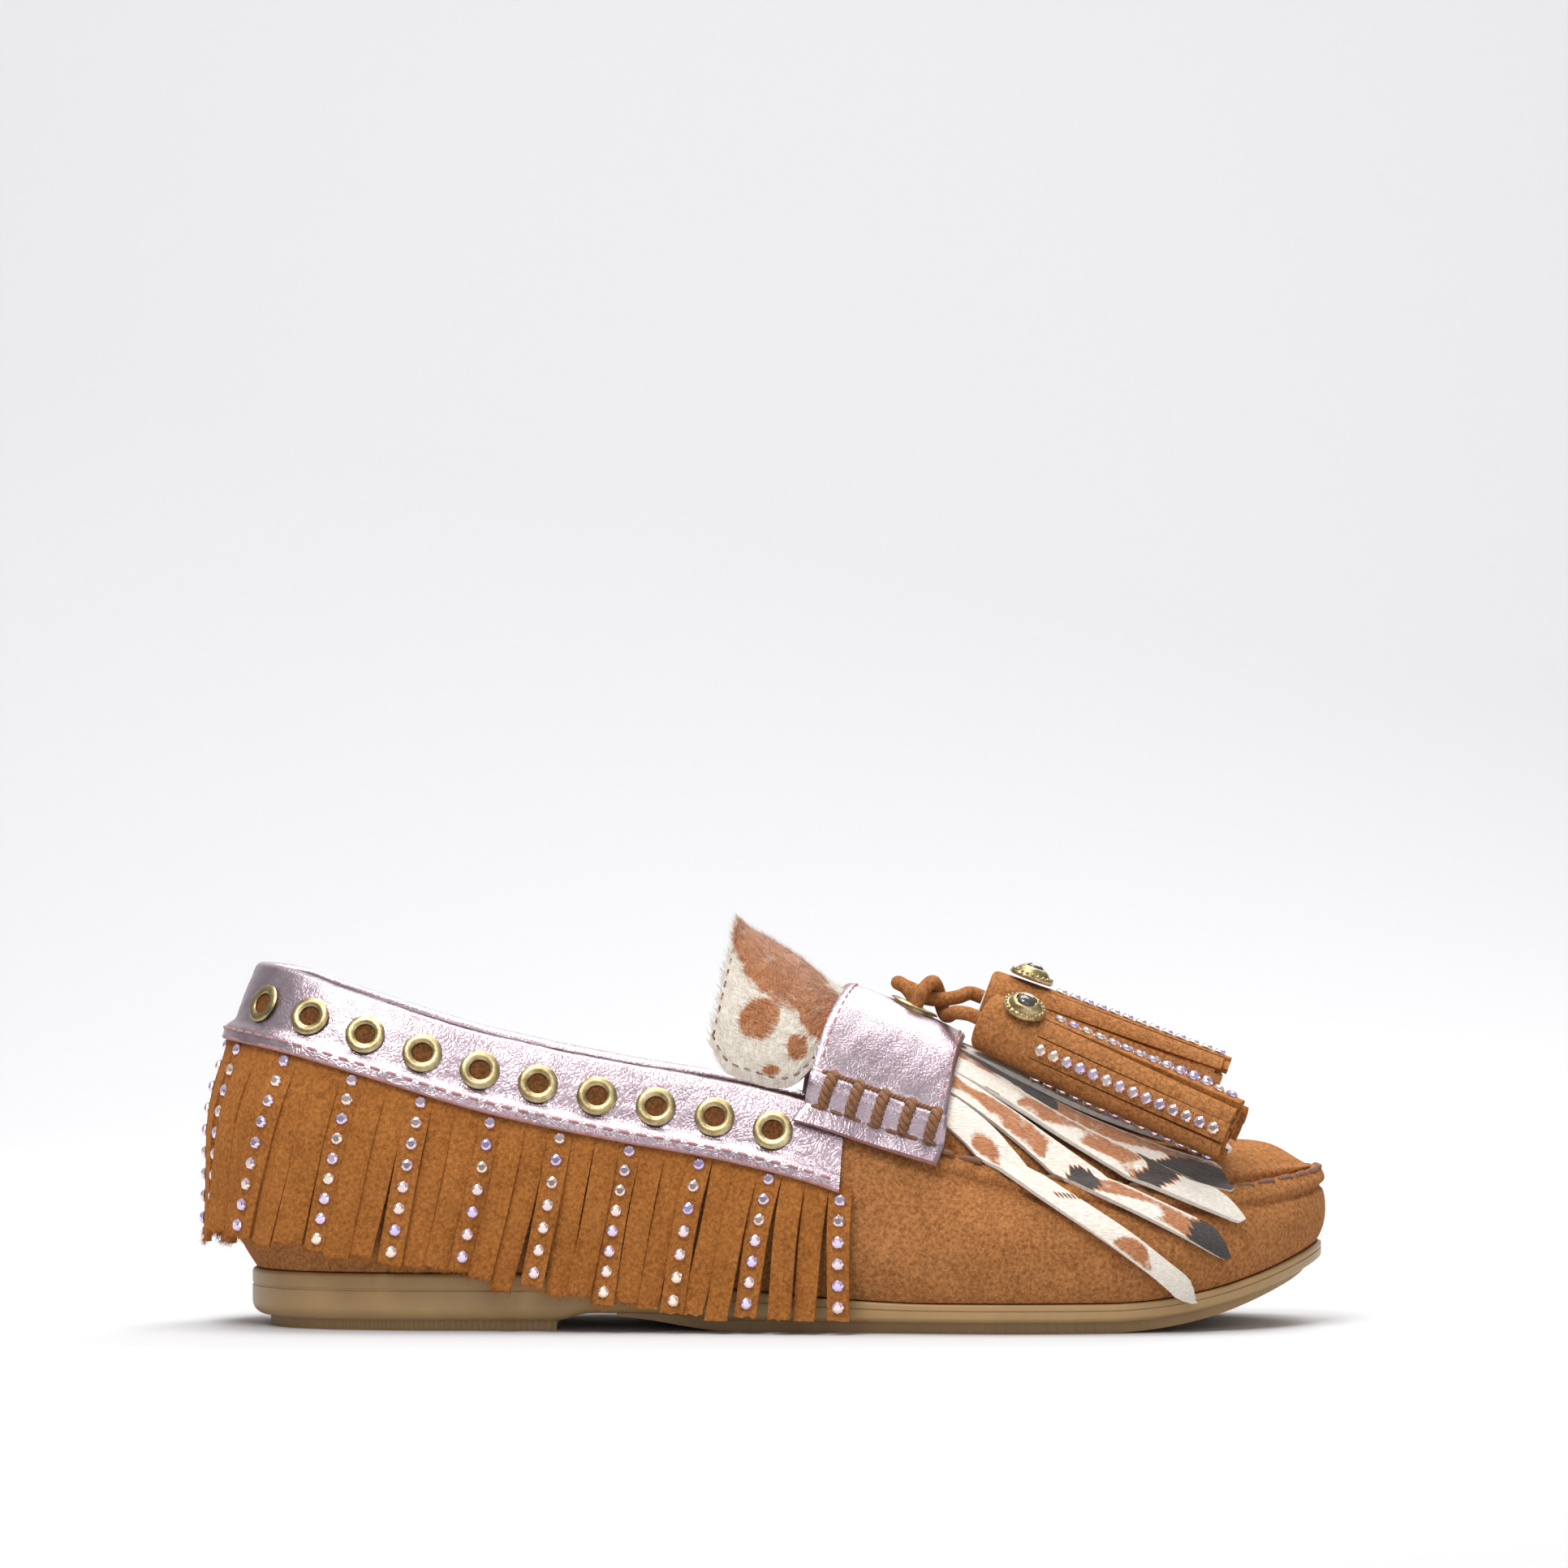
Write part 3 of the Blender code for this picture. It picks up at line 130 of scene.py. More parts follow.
def around(rows, outer, inner, turn):
    """A table's outer column for the outer side and its inner one for the way back, as one closed curve."""
    turns = [angle_at(row[0]) for row in rows]
    lap = 2 * np.pi
    places = turns + [lap - place for place in turns[-2::-1]]
    values = [row[outer] for row in rows] + [row[inner] for row in rows[-2::-1]]
    places = [place - lap for place in places[-3:-1]] + places + [place + lap for place in places[1:3]]
    return through(places, values[-3:-1] + values + values[1:3], np.mod(turn, lap))


def along(rows, column, share):
    """A table's column at a share of the length."""
    return through([row[0] for row in rows], [row[column] for row in rows], share)


# %% Surfaces of the last
SIGNED_PLAN = [(share, outer, -inner) for share, outer, inner in SOLE_PLAN]
BREAST = (HEEL_SETBACK + HEEL_TREAD) / SOLE_LENGTH


def outline(turn, out=0.0):
    """Plan point of the sole's edge, moved outwards along the normal of the curve."""
    def edge(place):
        side = -BALL_WIDTH * around(SIGNED_PLAN, 1, 2, place)
        return np.stack([SOLE_LENGTH * share_at(place) - HEEL_SETBACK, side], axis=-1)

    course = edge(turn + 1e-4) - edge(turn - 1e-4)
    course /= np.linalg.norm(course, axis=-1, keepdims=True)
    square = np.stack([course[..., 1], -course[..., 0]], axis=-1)
    return edge(turn) + square * np.asarray(out)[..., None]


def spring(share):
    """Lift towards the toe: the square of the way from where it starts."""
    return TOE_SPRING * np.clip((share - SPRING_START) / (1 - SPRING_START), 0, 1) ** 2


def sole_top(share):
    """Upper edge of the sole: heel thickness easing to forefoot thickness, plus the spring."""
    return SOLE_FORE + (SOLE_HEEL - SOLE_FORE) * (1 - ease(0.24, 0.64, share)) + spring(share)


def sole_floor(share):
    """Body of the sole above the floor: the tread's depth, more under the arch, plus the spring."""
    arch = ease(BREAST, BREAST + 0.03, share) * (1 - ease(BREAST + 0.07, BREAST + 0.18, share))
    return TREAD_DEPTH + (ARCH_RISE - TREAD_DEPTH) * arch + spring(share)


def wall_top(turn):
    """Height of the top line or apron seam."""
    return BACK_HEIGHT * around(WALL, 1, 1, turn)


def wall_base(turn, rise, hang=False):
    """Side wall: it swells by 1 - (1 - r/w)^2.5 up to the widest level w, then leans in by the square.

    With hang it is as wide at its foot as at w, as a strip falls.
    """
    turn, rise = np.broadcast_arrays(np.asarray(turn, float), np.asarray(rise, float))
    low, high = sole_top(share_at(turn)) + GAP, wall_top(turn)
    bulge = BALL_WIDTH * around(WALL, 2, 2, turn)
    inset = BALL_WIDTH * around(WALL, 3, 4, turn)
    widest = around(WALL, 5, 5, turn)
    below = np.clip(1 - rise / widest, 0, 1) * (0 if hang else 1)
    above = np.clip((rise - widest) / (1 - widest), 0, 1)
    out = bulge - (bulge + FEATHER_INSET) * below ** 2.5 - (bulge + inset) * above ** 2
    return np.concatenate([outline(turn, out), (low + (high - low) * rise)[..., None]], axis=-1)


def unit(vectors):
    """Vectors of length one."""
    return vectors / np.maximum(np.linalg.norm(vectors, axis=-1, keepdims=True), 1e-12)


def wall(turn, rise, proud=0.0, hang=False):
    """Side wall moved outwards along the cross product of its two directions."""
    sideways = wall_base(turn + 1e-3, rise, hang) - wall_base(turn - 1e-3, rise, hang)
    up = wall_base(turn, rise + 1e-3, hang) - wall_base(turn, rise - 1e-3, hang)
    return wall_base(turn, rise, hang) + unit(np.cross(sideways, up)) * np.asarray(proud)[..., None]


def rise_at(turn, drop):
    """Rise of the wall's point a drop below its top edge."""
    return 1 - drop / (wall_top(turn) - sole_top(share_at(turn)) - GAP)


def skin_base(share, across):
    """Forefoot: an arch (1 - |t|^2.4)^0.8 over the line from seam to seam, the side wall beyond them."""
    share, across = np.broadcast_arrays(np.asarray(share, float), np.asarray(across, float))
    outer = angle_at(share)
    inner = 2 * np.pi - outer
    t = np.clip(across, -1, 1)
    mix = ((1 + t) / 2)[..., None]
    point = wall_base(outer, 1.0) * (1 - mix) + wall_base(inner, 1.0) * mix
    point[..., 2] += INSTEP_RISE * along(APRON, 1, share) * (1 - np.abs(t) ** 2.4) ** 0.8
    drop = np.maximum(np.abs(across) - 1, 0) * SEAM_REACH
    point = np.where((across < -1)[..., None], wall_base(outer, rise_at(outer, drop)), point)
    return np.where((across > 1)[..., None], wall_base(inner, rise_at(inner, drop)), point)


def skin(share, across, proud=0.0):
    """Forefoot moved outwards along the cross product of its two directions."""
    forward = skin_base(share + 2e-3, across) - skin_base(share - 2e-3, across)
    sideways = skin_base(share, across + 0.06) - skin_base(share, across - 0.06)
    return skin_base(share, across) + unit(np.cross(forward, sideways)) * np.asarray(proud)[..., None]


print("ball girth stations", [round(float(v), 4) for v in outline(np.array([1.9]))[0]])

# %% [markdown]
# ## The camera
# The photo was taken from the shoe's outer side with a long lens, almost level with the floor. A pixel of
# the photo is 0.19 mm on the shoe, which gives the width of the frame, and the point in its middle gives
# the aim. A camera can also be moved by hand until the view fits, but a pixel's size settles it at once.

# %% Camera
PHOTO_WIDTH = 1932                # pixels, as high as it is wide
PIXEL = 0.0001904                 # metres a pixel at the shoe's near side
ORIGIN_PIXEL = (505, 1640)        # where the shoe's origin lies in the photo
CAMERA_DISTANCE = 1.93
NEAR_SIDE = 0.030                 # from the shoe's middle plane to its near side

middle = PHOTO_WIDTH / 2
aim = Vector(((middle - ORIGIN_PIXEL[0]) * PIXEL, 0.0, (ORIGIN_PIXEL[1] - middle) * PIXEL))
camera_data = bpy.data.cameras.new("camera")
camera_data.sensor_width = 36.0
camera_data.lens = 36.0 * (CAMERA_DISTANCE - NEAR_SIDE) / (PHOTO_WIDTH * PIXEL)
camera = bpy.data.objects.new("camera", camera_data)
scene.collection.objects.link(camera)
camera.location = (aim.x, -CAMERA_DISTANCE, aim.z)
camera.rotation_euler = (np.pi / 2, 0, 0)
scene.camera = camera
print("lens", round(camera_data.lens, 1), "mm, aim", [round(v, 4) for v in aim])

# %% [markdown]
# ## Meshes from arrays
# A leather piece has two skins and a cut edge. `leather` takes the grid of its outer skin and the grid of
# its inner one, lays quads over both, and joins their open edges with a rim: an edge is open where its
# reverse isn't found among the faces. Building both skins by formula keeps the thickness even, where a
# Solidify modifier would pinch at a sharp seam.


# %% Mesh helpers
def grid(rows, columns, closed=False):
    """Quads of a grid of points, as rows of four indices; closed joins the last column to the first."""
    index = np.arange(rows * columns).reshape(rows, columns)
    if closed:
        index = np.hstack([index, index[:, :1]])
    corners = [index[:-1, :-1], index[:-1, 1:], index[1:, 1:], index[1:, :-1]]
    return np.stack(corners, axis=-1).reshape(-1, 4)


def open_edges(faces, count):
    """Directed edges of the faces whose reverse is missing."""
    first = np.concatenate([face.ravel() for face in faces])
    second = np.concatenate([np.roll(face, -1, axis=1).ravel() for face in faces])
    keys = first * count + second
    alone = ~np.isin(keys, second * count + first)
    return first[alone], second[alone]


def make_mesh(name, points, faces, tint=None, sharp=0.7):
    """Object at the origin from arrays of points and faces, with a tint attribute; unused points go."""
    points = np.asarray(points, float).reshape(-1, 3)
    used = np.unique(np.concatenate([face.ravel() for face in faces]))
    place = np.zeros(len(points), int)
    place[used] = np.arange(len(used))
    polygons = [tuple(row) for face in faces for row in place[face].tolist()]
    mesh = bpy.data.meshes.new(name)
    mesh.from_pydata(points[used].tolist(), [], polygons)
    if tint is not None:
        layer = mesh.attributes.new("tint", "FLOAT", "POINT")
        layer.data.foreach_set("value", np.asarray(tint, float).ravel()[used])
    mesh.shade_smooth()
    if sharp:
        mesh.set_sharp_from_angle(angle=sharp)
    thing = bpy.data.objects.new(name.replace(" ", "_"), mesh)
    scene.collection.objects.link(thing)
    return thing


def leather(name, outer, inner, faces, tint=None, sharp=0.9, edge=None):
    """Closed piece between two skins that share their faces; its cut edge may have its own material."""
    count = len(outer.reshape(-1, 3))
    first, second = open_edges(faces, count)
    rim = np.stack([second, first, first + count, second + count], axis=-1)
    both = list(faces) + [face[:, ::-1] + count for face in faces] + [rim]
    points = np.concatenate([outer.reshape(-1, 3), inner.reshape(-1, 3)])
    tints = None if tint is None else np.concatenate([tint.ravel()] * 2)
    made = make_mesh(name, points, both, tints, sharp)
    if edge:
        index = np.zeros(len(made.data.polygons), int)
        index[-len(rim):] = 1
        made.data.polygons.foreach_set("material_index", index)
        made["cut edge"] = edge.name
    return made


def dress(thing, material, slot, *nodes):
    """Give a piece its material, its body and the solids that it stands for; slot is not used."""
    thing.data.materials.append(material)
    if "cut edge" in thing:
        thing.data.materials.append(bpy.data.materials[thing["cut edge"]])
    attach(thing, "root")
    if nodes:
        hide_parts(*nodes)
    triangles = sum(len(polygon.vertices) - 2 for polygon in thing.data.polygons)
    print(thing.name, triangles, "triangles")
    return thing


# %% Soft lumps, even places and copies
def ripple(points, size, seed):
    """Soft lumps from -1 to 1: a sum of six sine waves of that size in seeded directions."""
    draw = np.random.default_rng(seed)
    value = np.zeros(points.shape[:-1])
    for wave in range(6):
        way = unit(draw.normal(size=3)) * 2 * np.pi / (size * draw.uniform(0.6, 1.6))
        value += np.sin(points @ way + draw.uniform(0, 2 * np.pi))
    return value / 3


def run_along(path):
    """Length of a path up to each of its points: the running sum of its steps."""
    return np.concatenate([[0], np.cumsum(np.linalg.norm(np.diff(path, axis=0), axis=1))])


def walk(points, normals, pitch, margin=0.0):
    """Even places along a path: centres, tangents and normals, one pitch apart by length."""
    reach = run_along(points)
    count = max(int((reach[-1] - 2 * margin) / pitch), 1)
    places = margin + (np.arange(count) + 0.5) * (reach[-1] - 2 * margin) / count

    def pick(values, where):
        return np.column_stack([np.interp(where, reach, values[:, axis]) for axis in range(3)])

    forward = unit(pick(points, places + 0.3 * pitch) - pick(points, places - 0.3 * pitch))
    return pick(points, places), forward, unit(pick(normals, places))


def repeat(faces, count, size):
    """The faces again for each of so many equal sets of points, one set after the other."""
    faces = np.asarray(faces)
    return (faces[None] + (np.arange(count) * size)[:, None, None]).reshape(-1, faces.shape[1])


def scatter(name, template, faces, centres, forward, up, sharp=0.7):
    """Copies of a small template as one mesh: its X goes along forward, its Z along up."""
    side = unit(np.cross(up, forward))
    ahead = np.cross(side, up)
    frames = np.stack([ahead, side, up], axis=-1)
    points = np.einsum("nij,kj->nki", frames, template) + centres[:, None, :]
    copies = [repeat(face, len(centres), len(template)) for face in faces]
    tint = np.repeat(np.random.default_rng(len(centres)).random(len(centres)), len(template))
    return make_mesh(name, points, copies, tint=tint, sharp=sharp)


def place_along(name, template, runs, material, slot, node, sharp=0.7):
    """Copies of a template at every place of the walked paths, dressed."""
    centres, forward, up = (np.concatenate(part) for part in zip(*runs))
    dress(scatter(name, *template, centres, forward, up, sharp=sharp), material, slot, node)


# %% Tubes and stitches
def tube(path, radius, sides=12):
    """Grid round a path: circles square to it, and fans that close both ends."""
    path = np.asarray(path, float)
    course = unit(np.gradient(path, axis=0))
    side = unit(np.cross(course, [0.0, 0.0, 1.0]))
    top = np.cross(side, course)
    turn = np.arange(sides) * 2 * np.pi / sides
    radius = np.broadcast_to(np.asarray(radius, float), (len(path),))[:, None, None]
    ring = np.cos(turn)[None, :, None] * side[:, None] + np.sin(turn)[None, :, None] * top[:, None]
    points = (path[:, None] + radius * ring).reshape(-1, 3)
    last = (len(path) - 1) * sides
    loop = np.arange(sides)
    after = (loop + 1) % sides
    ends = np.array([np.full(sides, len(points)), after, loop]).T
    tips = np.array([np.full(sides, len(points) + 1), last + loop, last + after]).T
    points = np.concatenate([points, path[:1], path[-1:]])
    return points, [grid(len(path), sides, closed=True), ends, tips]


def capsule(length, radius, sides=8):
    """Template of one stitch: a rod along X with rounded ends that dip into the leather."""
    reach = np.linspace(-0.5, 0.5, 9) * length
    path = np.column_stack([reach, 0 * reach, -1.2 * radius * (2 * reach / length) ** 4])
    thick = radius * np.sqrt(np.clip(1.02 - (2 * reach / length) ** 6, 0.02, 1))
    return tube(path, thick, sides)


# %% [markdown]
# ## Materials from noise
# Suede is a velvet of short fibres: almost no gloss, a sheen at grazing angles and a fine speckle. The foil
# on the pink leather is a mirror broken by a fine grain, so its bump does more than its colour. Photos
# wrapped on the mesh would bring their own light with them, so every material is noise in the object's own
# space.

# %% Node helpers
def feed(tree, node, inputs):
    """Link the inputs that come from other nodes, and set the rest."""
    for key, value in inputs.items():
        if isinstance(value, bpy.types.NodeSocket):
            tree.links.new(value, node.inputs[key])
        else:
            node.inputs[key].default_value = value


def add(tree, kind, inputs=None, **settings):
    """Add a shader node and feed it."""
    made = tree.nodes.new("ShaderNode" + kind)
    for key, value in settings.items():
        setattr(made, key, value)
    feed(tree, made, inputs or {})
    return made


def mix(tree, factor, first, second):
    """Blend of two colours, each a triple or another node's output."""
    first, second = ((*colour, 1.0) if isinstance(colour, tuple) else colour for colour in (first, second))
    return add(tree, "Mix", {0: factor, 6: first, 7: second}, data_type="RGBA").outputs[2]


def ramp(tree, value, stops):
    """Grey ramp through stops of place and level, linear between them."""
    made = add(tree, "ValToRGB", {"Fac": value})
    elements = made.color_ramp.elements
    while len(elements) < len(stops):
        elements.new(0.5)
    for element, (place, level) in zip(elements, stops):
        element.position = place
        element.color = (level, level, level, 1.0)
    return made.outputs["Color"]


def noise(tree, place, scale, detail=3.0, rough=0.5, stretch=None):
    """Noise of the object's own space, from 0 to 1."""
    if stretch:
        place = add(tree, "Mapping", {"Vector": place, "Scale": stretch}).outputs["Vector"]
    made = add(tree, "TexNoise", {"Vector": place, "Scale": scale, "Detail": detail, "Roughness": rough})
    return made.outputs["Fac"]


def bump(tree, height, distance, strength=1.0, normal=None):
    """Bump whose full height is a distance in metres."""
    inputs = {"Height": height, "Distance": distance, "Strength": strength}
    if normal is not None:
        inputs["Normal"] = normal
    return add(tree, "Bump", inputs).outputs["Normal"]


def start(name, roughness, metallic=0.0):
    """New material: it, its tree, its shader and the object coordinates."""
    made = bpy.data.materials.new(name)
    made.use_nodes = True
    tree = made.node_tree
    shader = tree.nodes["Principled BSDF"]
    feed(tree, shader, {"Roughness": roughness, "Metallic": metallic})
    return made, tree, shader, add(tree, "TexCoord").outputs["Object"]


# %% Suede
def suede(name, dark, light, speckle=0.62):
    """Nap: broad clouds and fine speckles between two colours, a sheen, and a fibrous bump."""
    made, tree, shader, place = start(name, 0.95)
    cloud = ramp(tree, noise(tree, place, 85, 5, 0.6), ((0.30, 0.0), (0.70, 1.0)))
    grain = ramp(tree, noise(tree, place, 1100, 4, 0.75), ((0.36, 0.0), (0.64, 1.0)))
    base = mix(tree, cloud, dark, light)
    fleck = mix(tree, grain, tuple(0.45 * v for v in dark), tuple(min(1.40 * v, 1) for v in light))
    soft = bump(tree, noise(tree, place, 240, 4), 0.0006, 0.6)
    fibres = bump(tree, noise(tree, place, 1300, 4, 0.75), 0.0007, 0.9, soft)
    feed(tree, shader, {"Base Color": mix(tree, speckle, base, fleck), "Normal": fibres,
                        "Sheen Weight": 0.35, "Sheen Roughness": 0.5, "Sheen Tint": (*light, 1.0),
                        "Specular IOR Level": 0.15})
    return made


TAN = suede("tan suede", (0.30, 0.112, 0.032), (0.47, 0.200, 0.068))
# The suede darkened for the discs in the eyelets' holes: its dark is painted shade.
SHADED = suede("suede with painted shade in the holes", (0.10, 0.035, 0.010), (0.20, 0.080, 0.025))
FRINGE_SUEDE = suede("fringe suede", (0.28, 0.095, 0.018), (0.45, 0.170, 0.040), 0.5)


# %% Metallic leather, rubber, lining and thread
def foil(name):
    """Foil on leather: warped cells give the grain, broad noise the waves, and noise dulls it in places."""
    made, tree, shader, place = start(name, 0.30, 0.92)
    warp = add(tree, "TexNoise", {"Vector": place, "Scale": 160.0, "Detail": 3.0})
    moved = add(tree, "VectorMath", {0: warp.outputs["Color"], 1: (0.006,) * 3}, operation="MULTIPLY")
    warped = add(tree, "VectorMath", {0: place, 1: moved.outputs["Vector"]}, operation="ADD")
    where = warped.outputs["Vector"]
    cells = add(tree, "TexVoronoi", {"Vector": where, "Scale": 900.0}, feature="DISTANCE_TO_EDGE")
    pores = ramp(tree, cells.outputs["Distance"], ((0.0, 0.0), (0.25, 1.0)))
    wave = noise(tree, place, 90, 2, 0.45)
    height = mix(tree, 0.72, pores, wave)
    worn = ramp(tree, noise(tree, place, 110, 5, 0.65), ((0.35, 0.0), (0.65, 1.0)))
    colour = mix(tree, worn, (0.42, 0.335, 0.375), (0.54, 0.445, 0.49))
    colour = mix(tree, pores, mix(tree, 0.75, (0.30, 0.18, 0.23), colour), colour)
    dull = ramp(tree, noise(tree, place, 600, 3), ((0.3, 0.27), (0.7, 0.36)))
    feed(tree, shader, {"Base Color": colour, "Roughness": dull,
                        "Normal": bump(tree, height, 0.00028, 0.5)})
    return made


def satin(name, low, high, roughness, scale=60.0, lump=0.0001, metallic=0.0):
    """Plain finish with a soft cloud between two colours and a faint grain."""
    made, tree, shader, place = start(name, roughness, metallic)
    cloud = ramp(tree, noise(tree, place, scale, 5, 0.6), ((0.3, 0.0), (0.7, 1.0)))
    feed(tree, shader, {"Base Color": mix(tree, cloud, low, high),
                        "Normal": bump(tree, noise(tree, place, 25 * scale, 3), lump, 0.6)})
    return made


PINK = foil("pink foil leather")
RUBBER = satin("tan rubber", (0.35, 0.215, 0.088), (0.41, 0.255, 0.108), 0.40)
LINING = satin("tan lining leather", (0.46, 0.27, 0.14), (0.55, 0.34, 0.19), 0.55)
BRASS = satin("antique brass", (0.26, 0.18, 0.075), (0.66, 0.54, 0.30), 0.30, 400.0, 0.00005, 1.0)
THREAD = satin("brown thread", (0.16, 0.07, 0.035), (0.26, 0.12, 0.06), 0.75, 900.0)
PINK_THREAD = satin("pink thread", (0.34, 0.155, 0.15), (0.50, 0.26, 0.26), 0.75, 900.0)
CORD = satin("brown twisted cord", (0.20, 0.085, 0.035), (0.36, 0.17, 0.08), 0.70, 700.0, 0.0003)
STONE = satin("smoky stone", (0.035, 0.030, 0.026), (0.10, 0.085, 0.07), 0.06, 200.0, 0.0)
STONE.node_tree.nodes["Principled BSDF"].inputs["Coat Weight"].default_value = 0.8


# %% Hair and crystal
def hair(name, stretch):
    """Hair-on hide: the tint, frayed by noise, picks cream, rust or black, and the hairs lie one way."""
    made, tree, shader, place = start(name, 0.62)
    tint = add(tree, "Attribute", attribute_name="tint").outputs["Fac"]
    fray = noise(tree, place, 260, 5, 0.7)
    moved = add(tree, "Math", {0: fray, 1: 0.42, 2: tint}, operation="MULTIPLY_ADD").outputs["Value"]
    rust = ramp(tree, moved, ((0.60, 0.0), (0.70, 1.0)))
    black = ramp(tree, moved, ((0.98, 0.0), (1.0, 1.0)))
    strands = noise(tree, place, 1.0, 3, 0.6, stretch)
    thin = ramp(tree, strands, ((0.35, 0.0), (0.65, 1.0)))
    cream = mix(tree, thin, (0.76, 0.66, 0.53), (0.95, 0.91, 0.84))
    red = mix(tree, thin, (0.30, 0.095, 0.026), (0.62, 0.250, 0.085))
    dark = mix(tree, thin, (0.012, 0.009, 0.008), (0.06, 0.04, 0.03))
    colour = mix(tree, black, mix(tree, rust, cream, red), dark)
    feed(tree, shader, {"Base Color": colour, "Sheen Weight": 0.25,
                        "Normal": bump(tree, strands, 0.0006, 0.9)})
    return made


def crystal(name):
    """Foiled glass: a mirror under a clear coat, with a thin film that turns its colour with the angle."""
    made, tree, shader, _ = start(name, 0.08, 0.9)
    tint = add(tree, "Attribute", attribute_name="tint").outputs["Fac"]
    colour = mix(tree, tint, (0.74, 0.60, 0.95), (1.00, 0.82, 0.64))
    film = add(tree, "Math", {0: tint, 1: 260.0, 2: 330.0}, operation="MULTIPLY_ADD").outputs["Value"]
    feed(tree, shader, {"Base Color": colour, "Coat Weight": 1.0, "Thin Film Thickness": film,
                        "Thin Film IOR": 1.6})
    return made


HAIR_DOWN = hair("cow hair, hanging", (3200, 3200, 420))
HAIR_FORWARD = hair("cow hair, forward", (420, 3200, 3200))
RAW_EDGE = satin("white hide edge", (0.70, 0.64, 0.57), (0.88, 0.84, 0.78), 0.8, 900.0)
CRYSTAL = crystal("iridescent crystal")
print(len(bpy.data.materials), "materials")

# %% [markdown]
# ## The thongs
# Two suede thongs come up through the strap's eyelet. One makes a loop backwards, then runs through the
# turn that the other takes round it: the knot that holds the tassels. Their routes are listed points, as
# shares of the shoe's size from the eyelet, with a smooth curve through them. A rope simulation
# wouldn't tie the knot any better.

# %% Thongs
STRAP_EYELET_PLACE = 0.604
STRAP_LIFT = 3 * GAP + 0.0014
THONG_WIDTH, THONG_LEAD = 0.0034, 0.0030
TASSELS = {
    # butt, free end
    "outer": ((0.0666, -0.1059, -0.0135), (0.2964, -0.2832, -0.3259)),
    "inner": ((0.0693, 0.1055, 0.0434), (0.2925, 0.0918, -0.2040)),
}
THONG_ROUTES = {
    # points on the way from the eyelet to the tassel
    "outer": (
        (0.0015, -0.0241, 0.0031), (0.0058, -0.0252, 0.0315), (0.0097, -0.0252, 0.0599),
        (0.0152, -0.0150, 0.0812), (0.0195, 0.0111, 0.0895), (0.0227, 0.0418, 0.0860),
        (0.0262, 0.0714, 0.0623), (0.0289, 0.0771, 0.0292), (0.0317, 0.0566, 0.0019),
        (0.0352, 0.0191, -0.0052), (0.0399, -0.0195, 0.0043), (0.0474, -0.0650, 0.0055),
    ),
    "inner": (
        (0.0015, 0.0248, 0.0031), (0.0035, 0.0282, 0.0339), (-0.0012, 0.0396, 0.0647),
        (-0.0083, 0.0600, 0.0836), (-0.0114, 0.0884, 0.0860), (-0.0052, 0.1111, 0.0765),
        (0.0042, 0.1066, 0.0647), (0.0105, 0.0782, 0.0540), (0.0144, 0.0464, 0.0445),
        (0.0223, 0.0305, 0.0410), (0.0333, 0.0316, 0.0422), (0.0450, 0.0646, 0.0469),
    ),
}


def from_eyelet(offsets):
    """Points from their offsets from the strap's eyelet, in sole lengths, ball widths and back heights."""
    base = skin(STRAP_EYELET_PLACE, 0.0, STRAP_LIFT)
    return base + np.array(offsets) * (SOLE_LENGTH, BALL_WIDTH, BACK_HEIGHT)


def smooth_route(points, step):
    """Even points along the cubic through a route's own points."""
    reach = run_along(points)
    fine = np.linspace(0, reach[-1], int(reach[-1] / step) + 1)
    return np.column_stack([through(reach, points[:, axis], fine) for axis in range(3)])


def make_thong(label):
    """Tube along a route that ends square on the tassel's butt."""
    butt, end = from_eyelet(TASSELS[label])
    axis = unit(end - butt)
    last = [butt - axis * THONG_LEAD, butt - axis * GAP]
    route = smooth_route(np.concatenate([from_eyelet(THONG_ROUTES[label]), last]), 0.0005)
    points, faces = tube(route, THONG_WIDTH / 2, sides=24)
    thong = dress(make_mesh("thong " + label, points, faces), TAN, "suede", "thong_" + label)


for label in TASSELS:
    make_thong(label)

# %% [markdown]
# ## The outsole
# The sole is one rubber moulding: a low cup wall with a lip, a heel and a forefoot tread that stand on the
# floor, and fine teeth along their edges. It is a closed loft of the sole's outline: rings that grow out
# from its spine along the bottom, run up the side and go back in over the top. The padded sock inside is
# the same loft again, thinner. An extruded outline would do for a plain sole, but it has no lip or spring.

# %% Outsole
SOLE_TURNS = 540


def loft_round(name, rings):
    """Loft of rings (part, outward offset, height): part 1 is the outline, part 0 its spine."""
    turn = (np.arange(SOLE_TURNS) + 0.5) * 2 * np.pi / SOLE_TURNS
    share = share_at(turn)
    layers = []
    for part, out, height in rings:
        edge = outline(turn, np.full(SOLE_TURNS, out))
        spine = (edge[:, 1] + edge[::-1, 1]) / 2
        y = spine + (edge[:, 1] - spine) * part
        layers.append(np.column_stack([edge[:, 0], y, height(share)]))
    return make_mesh(name, np.stack(layers), [grid(len(rings), SOLE_TURNS, closed=True)], sharp=0.6)


def level(part):
    """Height at a part of the way from the sole's floor to its top edge."""
    return lambda share: sole_floor(share) + part * (sole_top(share) - sole_floor(share))


